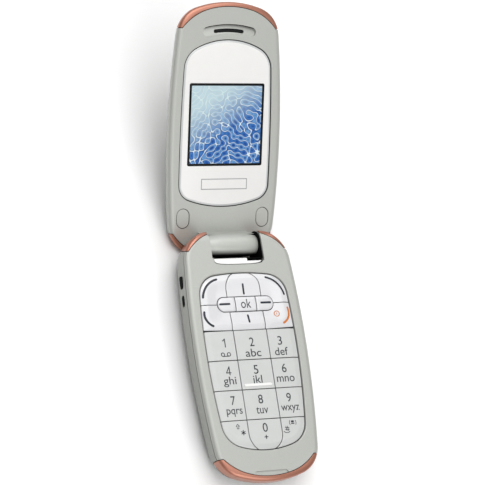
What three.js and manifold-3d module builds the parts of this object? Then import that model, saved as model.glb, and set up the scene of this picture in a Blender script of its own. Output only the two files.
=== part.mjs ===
// Flip phone, opened, lying on its back: a keypad half, a display half and the hinge between them.
// The pieces are drawn in the phone's own frame: X to the right, Y from the keypad's foot towards the hinge
// and Z out of the keys. Its origin is on the hinge line, level with the keypad face. The display half is
// drawn shut over the keypad and then turned open about the hinge axis. All sizes are in millimetres.

import * as THREE from 'three';
import { mergeVertices } from 'three/addons/utils/BufferGeometryUtils.js';
import Module from 'manifold-3d';

const wasm = await Module();
wasm.setup();

// Outline that both halves share, seen from the keys
const HALF_WIDTH = 22;
const WIDEST_AT = 37.2; // distance of the widest place from the hinge line
const SIDE_RADIUS = 355;
const FOOT_REACH = 86.2; // hinge line to the foot of the keypad half, and to the tip of the lid
const FOOT_RADIUS = 39;
const FOOT_CORNER = 11;
const HINGE_REACH = 5.2; // how far the outline runs past the hinge line
const HINGE_END_RADIUS = 53;
const HINGE_CORNER = 10.3;

// Hinge
const AXIS_DEPTH = 5.7; // hinge axis below the keypad face
const SHUT_GAP = 0.4; // between the two faces when shut
const OPEN_ANGLE = THREE.MathUtils.degToRad(155.3); // between the faces when open
const BARREL_RADIUS = 4.4;
const BARREL_END_RADIUS = 4.1;
const BARREL_HALF = 9.7;
const BARREL_SIDE_GAP = 0.4;
const HINGE_BORE_RADIUS = 3.0; // inside the barrel
const HINGE_MODULE_LENGTH = 10.5;
const HINGE_SLEEVE_LENGTH = 4.5;
const PIVOT_RADIUS = 1.7; // the heads that turn in the knuckles
const PIVOT_REACH = 12.3; // end of each head from the middle
const FLEX_RADIUS = 0.6;

// Keypad half
const BACK_DEPTH = 14.5; // back below the face, at the hinge line
const BACK_SLOPE = THREE.MathUtils.degToRad(2.75); // the back and the face draw together towards the foot
const FACE_ROUND = 1.9; // width of the rounded rim of the face
const FACE_DROP = 1.25; // height of the rounded rim, down to the seam
const BACK_ROUND_WIDTH = 6;
const SIDE_DEPTH = 4.3; // below the face, where the sides begin to round under
const HEEL_DRAW = 2; // how far the back draws in at the foot
const BACK_WALL_BEHIND = 3.1; // the back ends this far before the hinge line, and the open lid stops there
const WALL = 1.6;
const SEAM = 0.3; // gap between neighbours that don't move
const RUN_GAP = 0.3; // running clearance
const NOTCH_FOOT = 6.1; // foot of the barrel's notch below the hinge line
const NOTCH_SHELF_DEPTH = 11; // the notch is this deep behind the barrel
const LIP_EDGE = 7.3;
const LIP_MIDDLE = 8.5;
const LIP_HALF = 9.5;
const LIP_STEP_AT = 3.6; // from here to the right the lip ends sooner
const LIP_STEP_EDGE = 7.2;
const LIP_STEP_DEPTH = 5;
const NAIL_RECESS_HALF = 6.6;
const NAIL_RECESS_TOP = FOOT_REACH - 3.6; // from the hinge line, as are the other places along the phone
const NAIL_RECESS_DEPTH = 0.5;
const NAIL_RECESS_CORNER = 1.2;

// Trims in the two ends of each half
const TRIM_LINE_SPREAD = 1.8; // the trims' inner line runs off the sides of the phone
const FOOT_TRIM_BAND = 1.7; // at the middle of the foot
const FOOT_TRIM_RADIUS = 33;
const FOOT_TRIM_CORNER = 19.7;
const FOOT_TRIM_START = FOOT_REACH - 8.4;
const TIP_TRIM_START = FOOT_REACH - 9.5;
const FOOT_TRIM_DEPTH = 6.3;
const SHOULDER_TRIM_BAND = 0.7;
const SHOULDER_TRIM_RADIUS = 66;
const SHOULDER_TRIM_CORNER = 19.4;
const SHOULDER_TRIM_START = 3.2; // at the face
const SHOULDER_TRIM_LEAN = 0.3; // its end leans towards the hinge with depth
const SHOULDER_TRIM_DEPTH = 8.3;
const CORNER_TRIM_START = 3.6;

// Keypad
const PAD_HALF_WIDTH = HALF_WIDTH - 4.14;
const PAD_WIDEST_AT = 38;
const PAD_SIDE_RADIUS = 250;
const PAD_TOP = 11.5;
const PAD_TOP_RADIUS = 80;
const PAD_TOP_CORNER = 7.8;
const PAD_FOOT = FOOT_REACH - 10.8;
const PAD_FOOT_RADIUS = 33;
const PAD_FOOT_CORNER = 8.8;
const PAD_OPENING_CHAMFER = 0.35;
const KEY_GAP = 0.32;
const KEY_TOP = 0.1; // above the face
const KEY_THICKNESS = 1.0;
const KEY_TRAVEL = 0.35;
const NAV_LINE = 23.0; // middle line of the four-way keys
const FIRST_ROW_LINE = 32.47;
const ROW_PITCH = (PAD_FOOT - FIRST_ROW_LINE - 0.24) / 4;
const COLUMN_LINE = 0.362 * PAD_HALF_WIDTH;
const PILL_HALF_LENGTH = 0.612 * PAD_HALF_WIDTH;
const PILL_HALF_HEIGHT = 2.72;
const OK_HALF_WIDTH = 4.05;
const UP_KEY_HALF_WIDTH = COLUMN_LINE + 0.18;
const UP_KEY_RADIUS = UP_KEY_HALF_WIDTH - 0.6;
const UP_KEY_SHOULDER = PAD_TOP + 5.7;
const DOWN_KEY_HALF_WIDTH = COLUMN_LINE;
const ZERO_KEY_RADIUS = COLUMN_LINE - 0.27;
const ZERO_KEY_SHOULDER = PAD_FOOT - 5.8;

// Inside the keypad half, in layers below the keys
const WEB_OVERHANG = 0.8;
const WEB_THICKNESS = 0.55;
const WEB_CLEARANCE = 0.3;
const FOIL_THICKNESS = 0.2;
const BOARD_THICKNESS = 1.0;
const BOARD_HALF_WIDTH = HALF_WIDTH - 5.4;
const BOARD_FOOT = FOOT_REACH - 9.2;
const BOARD_HEAD = 10;
const BOARD_CORNER = 6;
const SKIRT_OUTER = 2.0; // inset of the face plate's skirt from the outline
const SKIRT_WALL = 0.8;
const SKIRT_DROP = 1.4;
const SKIRT_END = 9.7;
const SHIELD_HALF_WIDTH = BOARD_HALF_WIDTH - 4.6;
const SHIELD_FOOT = 0.6 * BOARD_FOOT;
const SHIELD_HEAD = 24;
const SHIELD_HEIGHT = 1.4;
const TUB_HEAD = 9.3; // the cavity ends here, before the knuckles
const CHAMBER_SIDE_WALL = 5.9;
const BAY_HEAD = 26; // the battery bay and the cover end here
const COVER_RIM = 3.5; // height of the cover's rim above the back
const COVER_PLATE = 1.0;
const COVER_WALL = 1.5;
const BAY_CEILING = 5.0; // above the back
const BAY_FLOOR_THICKNESS = 1.0;
const BAY_INSET = 3.3;
const BATTERY_HALF_WIDTH = HALF_WIDTH - 8.8;
const BATTERY_FOOT = FOOT_REACH - 15.2;
const BATTERY_HEAD = BAY_HEAD + 17;
const BATTERY_THICKNESS = 3.2;
const CONTACT_HALF_WIDTH = 4.5;
const CONTACT_LENGTH = 2;
const SIM_HALF_WIDTH = BATTERY_HALF_WIDTH - 0.7;
const SIM_LENGTH = 12;
const SIM_THICKNESS = 1.2;
const MICROPHONE_RADIUS = 2;
const MICROPHONE_HEIGHT = 1;
const MICROPHONE_AT = FOOT_REACH - 6.6;
const MOTOR_RADIUS = 2;
const MOTOR_LENGTH = 10;
const MOTOR_AT = [-8.5, -16.5];
const SPEAKER_RADIUS = 6;
const SPEAKER_HEIGHT = 3;
const SPEAKER_AT = [7, -17.8];
const SPEAKER_SLOTS = 3;
const SPEAKER_SLOT_LENGTH = 7;
const SPEAKER_SLOT_WIDTH = 0.9;
const SPEAKER_SLOT_PITCH = 2.2;
const ANTENNA_HALF_WIDTH = HALF_WIDTH - 7;
const ANTENNA_THICKNESS = 1.6;
const ANTENNA_DEPTHS = [4.6, 11.8];
const STRAP_SLOTS = [[13.4, 4.7], [20.1, 4.3]]; // middle and length of each
const STRAP_SLOT_HEIGHT = 1.1;
const STRAP_SLOT_DEPTH = 4.5; // below the face
const STRAP_TUNNEL_REACH = 2.2;
const STRAP_BAR = 1.0;
const SOCKET_AT = 17; // charging socket in the right wall
const SOCKET_DEPTH = 5.4;
const SOCKET_SIZE = [7.6, 2.0]; // length and height
const SOCKET_BODY_DEPTH = 3.2;
const BASE_SCREW_AT = [HALF_WIDTH - 8, -6.2];
const SCREW_HEAD_RADIUS = 1.5;
const SCREW_HEAD_HEIGHT = 1.1;
const SCREW_SHANK_RADIUS = 0.8;
const BASE_SCREW_LENGTH = 6.5;
const SCREW_SINK = 0.5;

// Lid
const LID_THICKNESS = 8.3; // next to the hinge
const LID_TAPER = 0.03; // the lid thins towards its tip
const LID_TAPER_FROM = 14;
const LID_SPLIT = 3.5; // bezel's height at the seam
const LID_SIDE_HEIGHT = 1.5; // where the sides begin to round under
const LID_BACK_ROUND_WIDTH = 8.5;
const NOSE_CLEARANCE = 0.4; // above the table that the open phone lies on
const NOSE_RADIUS = 60;
const NOSE_END = 4.5; // past the hinge line
const NOSE_BLUNT = 0.4;
const NOSE_TANGENT_AT = 2;
const NOSE_FILLET = 12;
const LENS_HALF_WIDTH = HALF_WIDTH - 4.15;
const LENS_WIDEST_AT = 32;
const LENS_SIDE_RADIUS = 700;
const LENS_TIP = FOOT_REACH - 13.45;
const LENS_TIP_RADIUS = 27;
const LENS_TIP_CORNER = 8.6;
const LENS_ROOT = 13.1;
const LENS_ROOT_RADIUS = 42;
const LENS_ROOT_CORNER = 6;
const LENS_SUNK = 0.2; // below the bezel
const LENS_THICKNESS = 1.0;
const BEZEL_FLOOR = 0.8;
const DISPLAY_HALF = LENS_HALF_WIDTH - 3.12; // black frame seen through the lens
const DISPLAY_MIDDLE = (LENS_TIP + LENS_ROOT) / 2 - 0.4;
const DISPLAY_WINDOW_MARGIN = 0.5;
const MODULE_MARGIN = 1.8;
const MODULE_THICKNESS = 1.8;
const LID_BOARD_HALF_WIDTH = HALF_WIDTH - 7.5;
const LID_BOARD_ENDS = [20, FOOT_REACH - 22.2];
const LID_BOARD_THICKNESS = 0.6;
const LID_CAVITY_ENDS = [14, FOOT_REACH - 5.2];
const LID_WALL = 1.7;
const LID_SHELL = 1.2;
const EAR_MIDDLE = FOOT_REACH - 9.9;
const EAR_RECESS_HALF = 10.3;
const EAR_RECESS_RISE = 2.3;
const EAR_RECESS_FALL = 1.6;
const EAR_RECESS_DEPTH = 0.6;
const EAR_SLOT_HALF = 5.9;
const EAR_SLOT_WIDTH = 1.1;
const EAR_SLOT_AT = FOOT_REACH - 10.3;
const EARPIECE_SIZE = [11, 5.4, 2];
const MAGNET_SIZE = [5, 3, 1.6];
const MAGNET_AT = [9.8 - HALF_WIDTH, 10.8 - FOOT_REACH];
const PLUG_AT = [HALF_WIDTH - 6.34, -9.17];
const PLUG_HALF_WIDTH = 2.35;
const PLUG_LENGTH = 6.8;
const PLUG_THICKNESS = 0.9;
const PLUG_GAP = 0.15;
const LID_SCREW_LENGTH = 3.6;
const WEB_ROOT = 2; // the barrel's web past the hinge line

const END_STEPS = 4;
const CORNER_STEPS = 6;
const SIDE_STEPS = 8;
const FAR = 120; // beyond the phone on every side

// Materials
const paint = (color, roughness, metalness) =>
  new THREE.MeshStandardMaterial({ color, roughness, metalness, flatShading: true });
const silverPaint = paint(0xc9cac4, 0.45, 0.35);
const copperPaint = paint(0xbe765e, 0.35, 0.6);
const keyPlastic = paint(0xe6e7e8, 0.3, 0.0);
const numberKeyPlastic = paint(0xdcdedc, 0.35, 0.0);
const lensPlastic = paint(0xefeeec, 0.08, 0.0);
const darkPlastic = paint(0x202226, 0.6, 0.0);
const silicone = paint(0x3a3c40, 0.8, 0.0);
const boardGreen = paint(0x1d5a3c, 0.5, 0.0);
const tin = paint(0xb8bcc0, 0.35, 0.9);
const steel = paint(0x9fa3a8, 0.3, 1.0);
const displayGlass = paint(0x5b9bd8, 0.1, 0.0);
const batteryWrap = paint(0x4b4e55, 0.6, 0.0);

// Outlines

// Where two circles about a and b meet: the upper point, or the lower one
function circlesMeet(a, radiusA, b, radiusB, upper) {
  const apart = a.distanceTo(b);
  const along = (radiusA * radiusA - radiusB * radiusB + apart * apart) / (2 * apart);
  const across = Math.sqrt(radiusA * radiusA - along * along);
  const direction = b.clone().sub(a).normalize();
  const foot = a.clone().addScaledVector(direction, along);
  const side = new THREE.Vector2(-direction.y, direction.x).multiplyScalar(across);
  const one = foot.clone().add(side);
  const other = foot.clone().sub(side);
  return (one.y > other.y) === upper ? one : other;
}

// Arcs of the right half of a rounded outline, from its foot to its head: end, corner, side, corner, end
function outlineArcs(o) {
  const sideCentre = new THREE.Vector2(o.halfWidth - o.sideRadius, o.widestY);
  const footCentre = new THREE.Vector2(0, o.footY + o.footRadius);
  const headCentre = new THREE.Vector2(0, o.headY - o.headRadius);
  const footCorner = circlesMeet(sideCentre, o.sideRadius - o.footCorner, footCentre, o.footRadius - o.footCorner, false);
  const headCorner = circlesMeet(sideCentre, o.sideRadius - o.headCorner, headCentre, o.headRadius - o.headCorner, true);
  const heading = (from, to) => Math.atan2(to.y - from.y, to.x - from.x);
  const footTurn = heading(footCentre, footCorner);
  const lowerTurn = heading(sideCentre, footCorner);
  const upperTurn = heading(sideCentre, headCorner);
  const headTurn = heading(headCentre, headCorner);
  return [
    { centre: footCentre, radius: o.footRadius, from: -Math.PI / 2, to: footTurn, steps: END_STEPS },
    { centre: footCorner, radius: o.footCorner, from: footTurn, to: lowerTurn, steps: CORNER_STEPS },
    { centre: sideCentre, radius: o.sideRadius, from: lowerTurn, to: upperTurn, steps: SIDE_STEPS },
    { centre: headCorner, radius: o.headCorner, from: upperTurn, to: headTurn, steps: CORNER_STEPS },
    { centre: headCentre, radius: o.headRadius, from: headTurn, to: Math.PI / 2, steps: END_STEPS },
  ];
}

// Points round the whole outline, drawn in by an inset
function outlinePoints(o, inset = 0) {
  const right = [];
  outlineArcs(o).forEach((arc, index) => {
    for (let step = index === 0 ? 0 : 1; step <= arc.steps; step += 1) {
      const angle = THREE.MathUtils.lerp(arc.from, arc.to, step / arc.steps);
      const reach = arc.radius - inset;
      right.push(new THREE.Vector2(arc.centre.x + reach * Math.cos(angle), arc.centre.y + reach * Math.sin(angle)));
    }
  });
  right[0].x = 0;
  right[right.length - 1].x = 0;
  const left = right.slice(1, -1).reverse().map((p) => new THREE.Vector2(-p.x, p.y));
  return right.concat(left);
}

const phoneOutline = {
  halfWidth: HALF_WIDTH,
  widestY: -WIDEST_AT,
  sideRadius: SIDE_RADIUS,
  footY: -FOOT_REACH,
  footRadius: FOOT_RADIUS,
  footCorner: FOOT_CORNER,
  headY: HINGE_REACH,
  headRadius: HINGE_END_RADIUS,
  headCorner: HINGE_CORNER,
};

const padOutline = {
  halfWidth: PAD_HALF_WIDTH,
  widestY: -PAD_WIDEST_AT,
  sideRadius: PAD_SIDE_RADIUS,
  footY: -PAD_FOOT,
  footRadius: PAD_FOOT_RADIUS,
  footCorner: PAD_FOOT_CORNER,
  headY: -PAD_TOP,
  headRadius: PAD_TOP_RADIUS,
  headCorner: PAD_TOP_CORNER,
};

const lensOutline = {
  halfWidth: LENS_HALF_WIDTH,
  widestY: -LENS_WIDEST_AT,
  sideRadius: LENS_SIDE_RADIUS,
  footY: -LENS_TIP,
  footRadius: LENS_TIP_RADIUS,
  footCorner: LENS_TIP_CORNER,
  headY: -LENS_ROOT,
  headRadius: LENS_ROOT_RADIUS,
  headCorner: LENS_ROOT_CORNER,
};

function stadium(middleX, middleY, halfLength, halfHeight, upright = false) {
  const points = [];
  const steps = 8;
  for (let end = 0; end < 2; end += 1) {
    for (let step = 0; step <= steps; step += 1) {
      const angle = -Math.PI / 2 + Math.PI * (end + step / steps);
      const along = (end === 0 ? 1 : -1) * (halfLength - halfHeight) + halfHeight * Math.cos(angle);
      const across = halfHeight * Math.sin(angle);
      points.push(new THREE.Vector2(middleX + (upright ? -across : along), middleY + (upright ? along : across)));
    }
  }
  return points;
}

function rectangle(x0, x1, y0, y1, corner = 0) {
  if (corner === 0) {
    return [new THREE.Vector2(x0, y0), new THREE.Vector2(x1, y0), new THREE.Vector2(x1, y1), new THREE.Vector2(x0, y1)];
  }
  const points = [];
  const steps = 3;
  const middles = [[x1 - corner, y0 + corner], [x1 - corner, y1 - corner], [x0 + corner, y1 - corner], [x0 + corner, y0 + corner]];
  middles.forEach(([x, y], quarter) => {
    for (let step = 0; step <= steps; step += 1) {
      const angle = (Math.PI / 2) * (quarter - 1 + step / steps);
      points.push(new THREE.Vector2(x + corner * Math.cos(angle), y + corner * Math.sin(angle)));
    }
  });
  return points;
}

// Solids

function solidFrom(geometry) {
  geometry.deleteAttribute('normal');
  geometry.deleteAttribute('uv');
  const merged = mergeVertices(geometry, 1e-4);
  const vertProperties = new Float32Array(merged.attributes.position.array);
  const triVerts = new Uint32Array(merged.index.array);
  let volume = 0;
  const corner = (i) => new THREE.Vector3().fromArray(vertProperties, 3 * triVerts[i]);
  for (let i = 0; i < triVerts.length; i += 3) {
    volume += corner(i).dot(corner(i + 1).cross(corner(i + 2)));
  }
  if (volume < 0) {
    for (let i = 0; i < triVerts.length; i += 3) {
      [triVerts[i], triVerts[i + 1]] = [triVerts[i + 1], triVerts[i]];
    }
  }
  return new wasm.Manifold(new wasm.Mesh({ numProp: 3, vertProperties, triVerts }));
}

const cut = (solid, ...tools) => tools.reduce((left, tool) => left.subtract(tool), solid);
const join = (solid, ...others) => others.reduce((sum, other) => sum.add(other), solid);
const keep = (solid, ...others) => others.reduce((left, other) => left.intersect(other), solid);

// A closed skin over rings of equal count, the first and last ring filled in
function skin(rings, flatten) {
  const positions = rings.flat().flatMap((p) => [p.x, p.y, p.z]);
  const indices = [];
  const count = rings[0].length;
  for (let level = 0; level + 1 < rings.length; level += 1) {
    for (let i = 0; i < count; i += 1) {
      const a = level * count + i;
      const b = level * count + ((i + 1) % count);
      indices.push(a, b, b + count, a, b + count, a + count);
    }
  }
  const cap = (ring, start, outward) => {
    const flat = ring.map(flatten);
    const flip = THREE.ShapeUtils.isClockWise(flat) === outward;
    THREE.ShapeUtils.triangulateShape(flat, []).forEach(([a, b, c]) =>
      indices.push(start + a, start + (flip ? c : b), start + (flip ? b : c)));
  };
  cap(rings[0], 0, false);
  cap(rings[rings.length - 1], (rings.length - 1) * count, true);
  const geometry = new THREE.BufferGeometry();
  geometry.setAttribute('position', new THREE.Float32BufferAttribute(positions, 3));
  geometry.setIndex(indices);
  return solidFrom(geometry);
}

// Flat shape in X and Y, drawn up from one height to another; a height may depend on y
function prism(points, low, high) {
  const heightAt = (height, p) => (typeof height === 'function' ? height(p.y) : height);
  const ring = (height) => points.map((p) => new THREE.Vector3(p.x, p.y, heightAt(height, p)));
  return skin([ring(low), ring(high)], (p) => new THREE.Vector2(p.x, p.y));
}

// Outline drawn through levels, each with its inset and height, or with an outline of its own
function stack(outline, levels) {
  const rings = levels.map((level) =>
    outlinePoints(level.outline ?? outline, level.inset).map(
      (p) => new THREE.Vector3(p.x, p.y, typeof level.z === 'function' ? level.z(p.y) : level.z),
    ),
  );
  return skin(rings, (p) => new THREE.Vector2(p.x, p.y));
}

// Side view shape in Y and Z, drawn along X
function sidePrism(points, x0, x1) {
  const ring = (x) => points.map((p) => new THREE.Vector3(x, p.x, p.y));
  return skin([ring(x0), ring(x1)], (p) => new THREE.Vector2(p.y, p.z));
}

const box = (x0, x1, y0, y1, z0, z1) => prism(rectangle(x0, x1, y0, y1), z0, z1);

// Turned shape about the line along X through the hinge axis; points are [x, radius]
function turnedAlongX(points, segments = 28, y = 0, z = -AXIS_DEPTH) {
  const profile = points.map(([x, radius]) => new THREE.Vector2(radius, x));
  const geometry = new THREE.LatheGeometry(profile, segments);
  geometry.rotateZ(-Math.PI / 2);
  geometry.translate(0, y, z);
  return solidFrom(geometry);
}

const rodAlongX = (x0, x1, radius, segments, y, z) =>
  turnedAlongX([[x0, 0], [x0, radius], [x1, radius], [x1, 0]], segments, y, z);

// Upright round shape about (x, y); points are [radius, z]
function turnedUpright(points, x, y, segments = 20) {
  const geometry = new THREE.LatheGeometry(points.map(([radius, z]) => new THREE.Vector2(radius, z)), segments);
  geometry.rotateX(Math.PI / 2);
  geometry.translate(x, y, 0);
  return solidFrom(geometry);
}

// Heights measured up from the sloping back of the keypad half
const backAt = (height) => (y) => -(BACK_DEPTH + y * Math.tan(BACK_SLOPE)) + height;

// Keypad half as one form, before it is parted

const quarter = [0, 30, 60, 90].map((degrees) => THREE.MathUtils.degToRad(degrees));
const faceRim = quarter.map((turn) => ({
  inset: FACE_ROUND * (1 - Math.sin(turn)),
  z: -FACE_DROP * (1 - Math.cos(turn)),
}));
const heelOutline = (share) => ({
  ...phoneOutline,
  footY: -FOOT_REACH + share * HEEL_DRAW,
  footCorner: FOOT_CORNER + share * HEEL_DRAW,
});
const backRound = quarter.map((turn) => ({
  outline: heelOutline(Math.cos(turn)),
  inset: BACK_ROUND_WIDTH * (1 - Math.sin(turn)),
  z: (y) => THREE.MathUtils.lerp(-SIDE_DEPTH, backAt(0)(y), Math.cos(turn)),
}));
const baseBlock = stack(phoneOutline, [...backRound, ...faceRim.reverse()]);

// Side view: the face runs into the half round knuckle, and the back ends in a wall before the hinge line
const knuckleRadius = AXIS_DEPTH;
const knuckleSteps = 18;
const knuckleEnd = Math.PI + Math.asin(BACK_WALL_BEHIND / knuckleRadius) - Math.PI / 2;
const baseSide = [new THREE.Vector2(-FAR, 1), new THREE.Vector2(-FAR, -FAR)];
baseSide.push(new THREE.Vector2(-BACK_WALL_BEHIND, -FAR));
for (let step = knuckleSteps; step >= 0; step -= 1) {
  const turn = Math.PI / 2 - (step / knuckleSteps) * (Math.PI / 2 + knuckleEnd);
  baseSide.push(new THREE.Vector2(knuckleRadius * Math.cos(turn), -AXIS_DEPTH + knuckleRadius * Math.sin(turn)));
}
baseSide.push(new THREE.Vector2(0, 1));
const baseForm = keep(baseBlock, sidePrism(baseSide, -FAR, FAR));

// Notch for the lid's barrel, open towards the hinge end and to the face
const notchHalf = BARREL_HALF + BARREL_SIDE_GAP;
const notch = join(
  box(-notchHalf, notchHalf, -NOTCH_FOOT, FAR, -NOTCH_SHELF_DEPTH, 2),
  box(-notchHalf, notchHalf, -BACK_WALL_BEHIND, FAR, -FAR, 2),
  box(LIP_STEP_AT, notchHalf, -LIP_STEP_EDGE, FAR, -LIP_STEP_DEPTH, 2),
);
const lipDepth = FACE_DROP + SEAM / 2;
const lipSteps = 10;
const lipArc = [];
for (let step = 0; step <= lipSteps; step += 1) {
  const across = -1 + (2 * step) / lipSteps;
  lipArc.push([across * LIP_HALF, -LIP_EDGE - (LIP_MIDDLE - LIP_EDGE) * Math.sqrt(Math.max(0, 1 - across ** 4))]);
}
const lipRing = (slide, z) => [
  ...lipArc.map(([x, y]) => new THREE.Vector3(x, THREE.MathUtils.lerp(y, -NOTCH_FOOT, slide), z)),
  new THREE.Vector3(LIP_HALF, -NOTCH_FOOT + 1, z),
  new THREE.Vector3(-LIP_HALF, -NOTCH_FOOT + 1, z),
];
const lip = skin([lipRing(0.85, -lipDepth), lipRing(0, 0), lipRing(0, 1)], (p) => new THREE.Vector2(p.x, p.y));

// Trims: the parts of the form outside an inner line, with the seam taken from the housings
const trimOutline = {
  ...phoneOutline,
  halfWidth: HALF_WIDTH + TRIM_LINE_SPREAD,
  footY: -FOOT_REACH + FOOT_TRIM_BAND,
  footRadius: FOOT_TRIM_RADIUS,
  footCorner: FOOT_TRIM_CORNER,
  headY: HINGE_REACH - SHOULDER_TRIM_BAND,
  headRadius: SHOULDER_TRIM_RADIUS,
  headCorner: SHOULDER_TRIM_CORNER,
};
const outsideTrimLine = (gap, low, high) =>
  cut(stack(phoneOutline, [{ inset: -2, z: low }, { inset: -2, z: high }]),
    stack(trimOutline, [{ inset: gap, z: low - 1 }, { inset: gap, z: high + 1 }]));

const footTrimZone = (gap) =>
  keep(outsideTrimLine(gap, -FOOT_TRIM_DEPTH - gap, 2), box(-FAR, FAR, -FAR, -FOOT_TRIM_START + gap, -FAR, FAR));
const shoulderTrimZone = (side, gap) => {
  const inner = notchHalf + SEAM - gap;
  const end = (z) => new THREE.Vector2(-SHOULDER_TRIM_START - gap - z * SHOULDER_TRIM_LEAN, z);
  const endView = [end(2), end(-FAR / 4), new THREE.Vector2(FAR, -FAR / 4), new THREE.Vector2(FAR, 2)];
  return keep(outsideTrimLine(gap, -SHOULDER_TRIM_DEPTH - gap, 2),
    sidePrism(endView, side > 0 ? inner : -FAR, side > 0 ? FAR : -inner));
};

const footTrim = keep(baseForm, footTrimZone(0));
const shoulderTrims = [-1, 1].map((side) => keep(baseForm, shoulderTrimZone(side, 0)));
const trimCuts = [footTrimZone(SEAM), shoulderTrimZone(-1, SEAM), shoulderTrimZone(1, SEAM)];

// Face plate
const padOpening = stack(padOutline, [
  { inset: 0, z: -FAR },
  { inset: 0, z: -PAD_OPENING_CHAMFER },
  { inset: -2 * PAD_OPENING_CHAMFER, z: PAD_OPENING_CHAMFER },
]);
const nailRecess = prism(
  rectangle(-NAIL_RECESS_HALF, NAIL_RECESS_HALF, -FAR, -NAIL_RECESS_TOP, NAIL_RECESS_CORNER),
  -NAIL_RECESS_DEPTH, 2,
);
const skirt = keep(
  cut(
    stack(phoneOutline, [{ inset: SKIRT_OUTER, z: -FACE_DROP - SKIRT_DROP }, { inset: SKIRT_OUTER, z: -FACE_DROP / 2 }]),
    stack(phoneOutline, [{ inset: SKIRT_OUTER + SKIRT_WALL, z: -FAR }, { inset: SKIRT_OUTER + SKIRT_WALL, z: FAR }]),
  ),
  box(-FAR, FAR, -FAR, -SKIRT_END, -FAR, FAR),
);
const facePlate = keep(baseForm, box(-FAR, FAR, -FAR, FAR, -FACE_DROP, FAR));
const baseFrontHousing = cut(join(facePlate, skirt), padOpening, notch, lip, nailRecess, ...trimCuts);

// Tub under the face plate
const cavity = keep(
  stack(phoneOutline, [
    { inset: WALL, z: backAt(BAY_CEILING + BAY_FLOOR_THICKNESS) },
    { inset: WALL, z: 2 },
  ]),
  box(-FAR, FAR, -FAR, -TUB_HEAD, -FAR, FAR),
);
const chamberHalf = HALF_WIDTH - CHAMBER_SIDE_WALL;
const headChamber = prism(rectangle(-chamberHalf, chamberHalf, -BAY_HEAD + WALL, -TUB_HEAD), backAt(COVER_PLATE + SEAM), 0);
const bay = keep(
  stack(phoneOutline, [{ inset: BAY_INSET, z: backAt(-1) }, { inset: BAY_INSET, z: backAt(BAY_CEILING) }]),
  box(-FAR, FAR, -FAR, -BAY_HEAD - WALL, -FAR, FAR),
);
const coverZone = (gap) => prism(rectangle(-FAR, FAR, -FAR, -BAY_HEAD + gap), backAt(-FAR), backAt(COVER_RIM + gap));

const strapCuts = STRAP_SLOTS.map(([middle, length]) =>
  box(-FAR, -HALF_WIDTH + WALL + STRAP_TUNNEL_REACH, -middle - length / 2, -middle + length / 2,
    -STRAP_SLOT_DEPTH - STRAP_SLOT_HEIGHT / 2, -STRAP_SLOT_DEPTH + STRAP_SLOT_HEIGHT / 2));
const strapEnds = [STRAP_SLOTS[0][0] - STRAP_SLOTS[0][1] / 2, STRAP_SLOTS[1][0] + STRAP_SLOTS[1][1] / 2];
const strapTunnel = box(-HALF_WIDTH + WALL + STRAP_BAR, -HALF_WIDTH + WALL + STRAP_TUNNEL_REACH, -strapEnds[1], -strapEnds[0],
  -STRAP_SLOT_DEPTH - STRAP_SLOT_HEIGHT / 2, -STRAP_SLOT_DEPTH + STRAP_SLOT_HEIGHT / 2);
const strapBlock = keep(baseForm, box(-FAR, -HALF_WIDTH + WALL + STRAP_TUNNEL_REACH + 0.8, -strapEnds[1] - 0.8, -strapEnds[0] + 0.8,
  -STRAP_SLOT_DEPTH - STRAP_SLOT_HEIGHT, -STRAP_SLOT_DEPTH + STRAP_SLOT_HEIGHT));

const socketHole = box(0, FAR, -SOCKET_AT - SOCKET_SIZE[0] / 2, -SOCKET_AT + SOCKET_SIZE[0] / 2,
  -SOCKET_DEPTH - SOCKET_SIZE[1] / 2, -SOCKET_DEPTH + SOCKET_SIZE[1] / 2);

const speakerSlots = [];
for (let i = 0; i < SPEAKER_SLOTS; i += 1) {
  const y = SPEAKER_AT[1] + (i - (SPEAKER_SLOTS - 1) / 2) * SPEAKER_SLOT_PITCH;
  speakerSlots.push(prism(stadium(SPEAKER_AT[0], y, SPEAKER_SLOT_LENGTH / 2, SPEAKER_SLOT_WIDTH / 2), backAt(-1), backAt(COVER_RIM)));
}

const pivotBore = rodAlongX(-PIVOT_REACH - RUN_GAP, PIVOT_REACH + RUN_GAP, PIVOT_RADIUS + RUN_GAP);

const screwBottom = backAt(SCREW_SINK)(BASE_SCREW_AT[1]);
const screwProfile = (start, length, gap) => [
  [0, start - gap],
  [SCREW_HEAD_RADIUS + gap, start - gap],
  [SCREW_HEAD_RADIUS + gap, start + SCREW_HEAD_HEIGHT + gap],
  [SCREW_SHANK_RADIUS + gap, start + SCREW_HEAD_HEIGHT + gap],
  [SCREW_SHANK_RADIUS + gap, start + length + gap],
  [0, start + length + gap],
];
const baseScrew = (side) => turnedUpright(screwProfile(screwBottom, BASE_SCREW_LENGTH, 0), side * BASE_SCREW_AT[0], BASE_SCREW_AT[1]);
const baseScrewHole = (side) =>
  join(
    turnedUpright(screwProfile(screwBottom, BASE_SCREW_LENGTH, SEAM), side * BASE_SCREW_AT[0], BASE_SCREW_AT[1]),
    turnedUpright([[0, screwBottom - 5], [SCREW_HEAD_RADIUS + SEAM, screwBottom - 5], [SCREW_HEAD_RADIUS + SEAM, screwBottom], [0, screwBottom]],
      side * BASE_SCREW_AT[0], BASE_SCREW_AT[1]),
  );

const tubBlock = cut(
  keep(baseForm, box(-FAR, FAR, -FAR, FAR, -FAR, -FACE_DROP - SEAM)),
  cavity, headChamber, bay, coverZone(SEAM),
);
const baseRearHousing = cut(
  join(tubBlock, keep(strapBlock, box(-FAR, FAR, -FAR, FAR, -FAR, -FACE_DROP - SEAM))),
  notch, ...trimCuts, ...strapCuts, strapTunnel, socketHole, ...speakerSlots, pivotBore, baseScrewHole(-1), baseScrewHole(1),
);

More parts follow.
